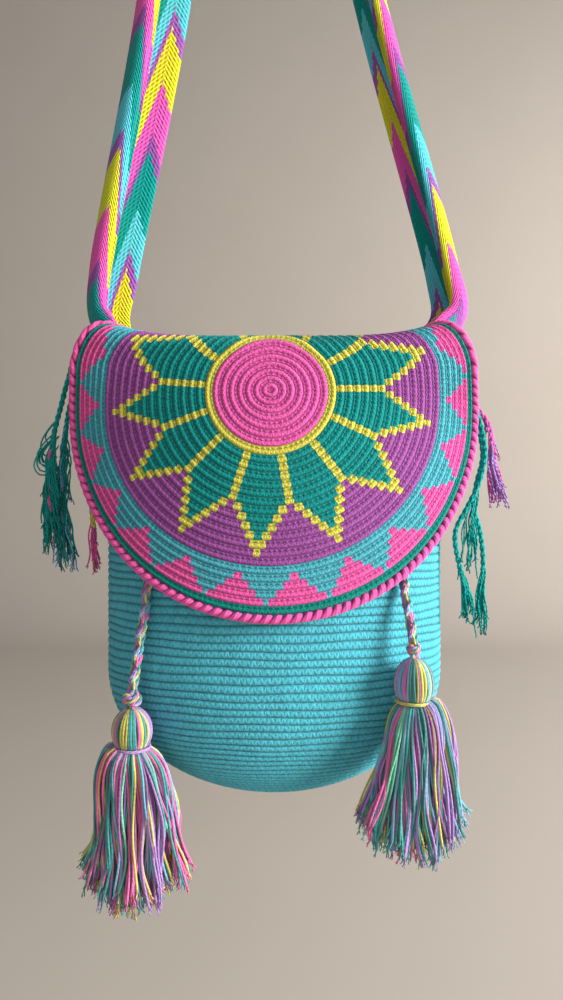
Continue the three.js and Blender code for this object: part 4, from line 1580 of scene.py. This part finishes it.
def section_point(turn, width, depth, lip):
    """The middle of the band in its section: inward and from front to back."""
    outside = (BAND_THICKNESS - width) / 2
    across = width - BAND_THICKNESS
    half_depth = (depth - BAND_THICKNESS) / 2
    if turn < 0:
        rolled = turn * (1 + LIP_ROLL * (1 - lip) / (pi / 2))
        return Vector((outside + across * lip * (1 - cos(rolled)), half_depth * sin(rolled)))
    return Vector((outside + across * (1 - cos(turn)), half_depth * sin(turn)))


def band_point(station, across, side, thin):
    """A point on a face of the band, which is thinner at its edges."""
    place, inward, *sizes = station
    turn = lerp(-pi / 2, pi / 2, across / BAND_FLAT)
    ahead = section_point(turn + SECTION_STEP, *sizes) - section_point(turn - SECTION_STEP, *sizes)
    out = Vector((-ahead.y, ahead.x)).normalized()
    edge = smooth(min(across, BAND_FLAT - across), *BAND_EDGE)
    half = BAND_THICKNESS / 2 * edge * thin
    spot = section_point(turn, *sizes) + out * side * half
    return place + inward * spot.x + Vector((0, spot.y, 0))


# %% The strap's mesh
BAND_COLUMNS = 46
STRAP_STEP = 2.2 * MM

steps = round(STRAP_LENGTH / STRAP_STEP)
stations = [strap_station(STRAP_LENGTH * i / steps) for i in range(steps + 1)]
section = [(BAND_FLAT * i / BAND_COLUMNS, 1) for i in range(BAND_COLUMNS + 1)]
section += [(BAND_FLAT * i / BAND_COLUMNS, -1) for i in range(BAND_COLUMNS, -1, -1)]
section.append(section[0])


def strap_point(along, around):
    """A point of the strap, which thins to nothing at both ends."""
    number = round(along * steps)
    thin = 0.0 if number in (0, steps) else 1.0
    return band_point(stations[number], *level_at(section, around), thin)


bm = bmesh.new()
shape_grid(
    bm, steps, len(section) - 1,
    lambda along, around, foot: (level_at(section, around)[0] / MM, along * STRAP_LENGTH / MM),
    strap_point,
)
print("strap grid has", len(stations), "levels")

# %% [markdown]
# ## The strap's weave
# The band is woven in two columns of long arrows that point to the top of the strap. So a place's
# colour depends on how far down the strap it is, less a few times its distance from the line of the
# arrows' tips. The two columns are half a repeat apart. The front column is rolled over the lip and
# drawn out, so its arrows have one steep and one slow side. Short slanting ribs run the same way and
# give the colours their toothed edges. Lengths are in millimetres here.

# %% The strap's weave
RIB, RIB_SLOPE, RIB_LIGHT_AND_SHADE = 3.2, 1.4, 0.2
TOOTH = 4.0
STRIPE_PERIOD = 160.0
ARROW_SLOPE = 4.8
STRAP_TOP = 10.0
FRONT_ARROWS = {"tips": 11.0, "before": 1.0, "after": 0.22, "start": 0.2875}
BACK_ARROWS = {"tips": 64.5, "before": 1.1, "after": 0.56, "start": 0.875}
COLUMN_EDGE = 55.6
STRAP_STRIPES = [
    (0.0, srgb(220, 220, 44)), (0.22, srgb(242, 92, 182)), (0.435, srgb(150, 84, 162)),
    (0.505, srgb(6, 150, 142)), (0.745, srgb(88, 200, 216)), (0.92, srgb(156, 92, 178)),
]
WARP, WARP_LIGHT_AND_SHADE, WARP_RELIEF = 2.3, 0.08, 0.5
STRAP_LEVEL = 0.86
STRAP_PATCHES = (55, 0.2)
STRAP_FIBRE, STRAP_FIBRE_RELIEF = 1500, 0.3


def strap_finish():
    finish = Finish("strap_weave")
    across, along = finish.surface_place()
    in_back = across.above(COLUMN_EDGE)

    def by_column(key, sign=1):
        front = sign * FRONT_ARROWS[key]
        return front + (sign * BACK_ARROWS[key] - front) * in_back

    from_tips = across - by_column("tips")
    before = from_tips * by_column("before", -1)
    after = from_tips * by_column("after")
    down = abs(along - (STRAP_LENGTH / MM / 2 + STRAP_TOP))
    rib = ((abs(from_tips) * RIB_SLOPE - down) / RIB).fract()
    shifted = down - before.largest(after) * ARROW_SLOPE + (rib - 0.5) * TOOTH
    place = (shifted / STRIPE_PERIOD + by_column("start")).fract()
    colour = finish.node("ShaderNodeValToRGB", {"stops": STRAP_STRIPES}, {0: place})
    ribs = 1 - rib.from_middle()
    warp = (from_tips / WARP).fract().from_middle()
    patch = finish.speckle(*STRAP_PATCHES)
    # Painted light on the crowns of the ribs and warp threads and painted shade between them; the
    # patches are the yarn's own tone.
    level = STRAP_LEVEL + ribs * RIB_LIGHT_AND_SHADE + warp * WARP_LIGHT_AND_SHADE + patch
    finish.feed("Base Color", finish.shade(colour, level))
    fibre = finish.cloud(STRAP_FIBRE, FINE) * STRAP_FIBRE_RELIEF
    finish.emboss(ribs + warp * WARP_RELIEF + fibre, YARN_RELIEF)
    return finish


STRAP_WEAVE = strap_finish()
strap = make_piece(bm, "woven_strap", STRAP_WEAVE, ["strap"], "bag")

# %% [markdown]
# ## Seams
# The sewn stitches are simple zigzag cords that the frame already holds in the right form. They keep
# their solids and get a thread finish, which reads Object coordinates because a solid has no UV map.

# %% Seams
SEAMS = {"flap_seam": PINK, "left_strap_seam": TEAL, "right_strap_seam": TEAL}
THREAD_SCALE = 900
THREAD_LEVEL, THREAD_SHADE = 0.7, 0.5
THREAD_RELIEF = 0.4 * MM

for name, yarn in SEAMS.items():
    finish = Finish(f"{name}_thread")
    twist = finish.cloud(THREAD_SCALE, FINE)
    level = THREAD_LEVEL + twist * THREAD_SHADE
    finish.feed("Base Color", finish.shade(STRAND_COLOURS[yarn], level))
    finish.emboss(twist, THREAD_RELIEF)
    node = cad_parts[name]
    node.data.materials.clear()
    node.data.materials.append(finish.material)
    print(name, "gets its thread")

# %% [markdown]
# ## Studio
# The bag hangs over a plain pale floor that curves up into a plain wall far behind it, so that other
# views look past it. The stage is one grid whose rows follow that line.

# %% Stage
FLOOR_Z = -1.05
STAGE_BACK = 2.3
STAGE_RADIUS = 0.6
STAGE_HALF = 6.0
STAGE_COLOUR = srgb(186, 177, 167)
STAGE_LEVEL, STAGE_SHADE = 0.97, 0.06
STAGE_SCALE = 3
STAGE_STEPS = 12

profile = [(-STAGE_HALF, FLOOR_Z), (STAGE_BACK - STAGE_RADIUS, FLOOR_Z)]
for i in range(1, STAGE_STEPS + 1):
    turn = pi / 2 * i / STAGE_STEPS
    y = STAGE_BACK - STAGE_RADIUS + STAGE_RADIUS * sin(turn)
    profile.append((y, FLOOR_Z + STAGE_RADIUS * (1 - cos(turn))))
profile.append((STAGE_BACK, STAGE_HALF))

bm = bmesh.new()
shape_grid(
    bm, 1, len(profile) - 1, lambda across, up, foot: (across, up),
    lambda across, up: (lerp(-STAGE_HALF, STAGE_HALF, across), *level_at(profile, up)),
)
for face in bm.faces:
    face.smooth = True
mesh = bpy.data.meshes.new("studio_stage")
bm.to_mesh(mesh)
bm.free()
finish = Finish("stage_paint")
paint_level = STAGE_LEVEL + finish.cloud(STAGE_SCALE) * STAGE_SHADE
finish.feed("Base Color", finish.shade(STAGE_COLOUR, paint_level))
finish.feed("Sheen Weight", 0.0)
mesh.materials.append(finish.material)
stage = add_object("studio_stage", mesh)
print("stage has", len(mesh.polygons), "faces")

# %% [markdown]
# The light is soft: an even world, a large lamp at the right that shades the left side a little, a
# weak one from the front that fills the shade, and one on the wall.

# %% Light
BAG_MIDDLE = (BAG_X, 0, -0.65)
WALL_SPOT = (1.1, STAGE_BACK, 0.1)
LAMPS = {
    "window_light": ((1.7, -0.66, -0.2), BAG_MIDDLE, 0.9, 68, (1.0, 0.98, 0.95)),
    "fill_light": ((-0.3, -1.7, -0.3), BAG_MIDDLE, 1.2, 4, (0.96, 0.98, 1.0)),
    "wall_light": ((2.4, 0.8, 0.2), WALL_SPOT, 1.2, 43, (1.0, 0.99, 0.98)),
}
AIR_COLOUR = (0.95, 0.97, 1.0, 1.0)
AIR_STRENGTH = 0.28

for name, (place, target, size, watts, colour) in LAMPS.items():
    lamp = add_object(name, bpy.data.lights.new(name, "AREA"))
    lamp.data.shape = "DISK"
    lamp.data.size = size
    lamp.data.energy = watts
    lamp.data.color = colour
    lamp.location = place
    lamp.rotation_euler = (Vector(target) - Vector(place)).to_track_quat("-Z", "Y").to_euler()

world = bpy.data.worlds.new("studio_air")
world.use_nodes = True
air = world.node_tree.nodes["Background"].inputs
air["Color"].default_value = AIR_COLOUR
air["Strength"].default_value = AIR_STRENGTH
bpy.context.scene.world = world
bpy.context.scene.view_settings.view_transform = "Standard"
print(len(LAMPS), "lamps")
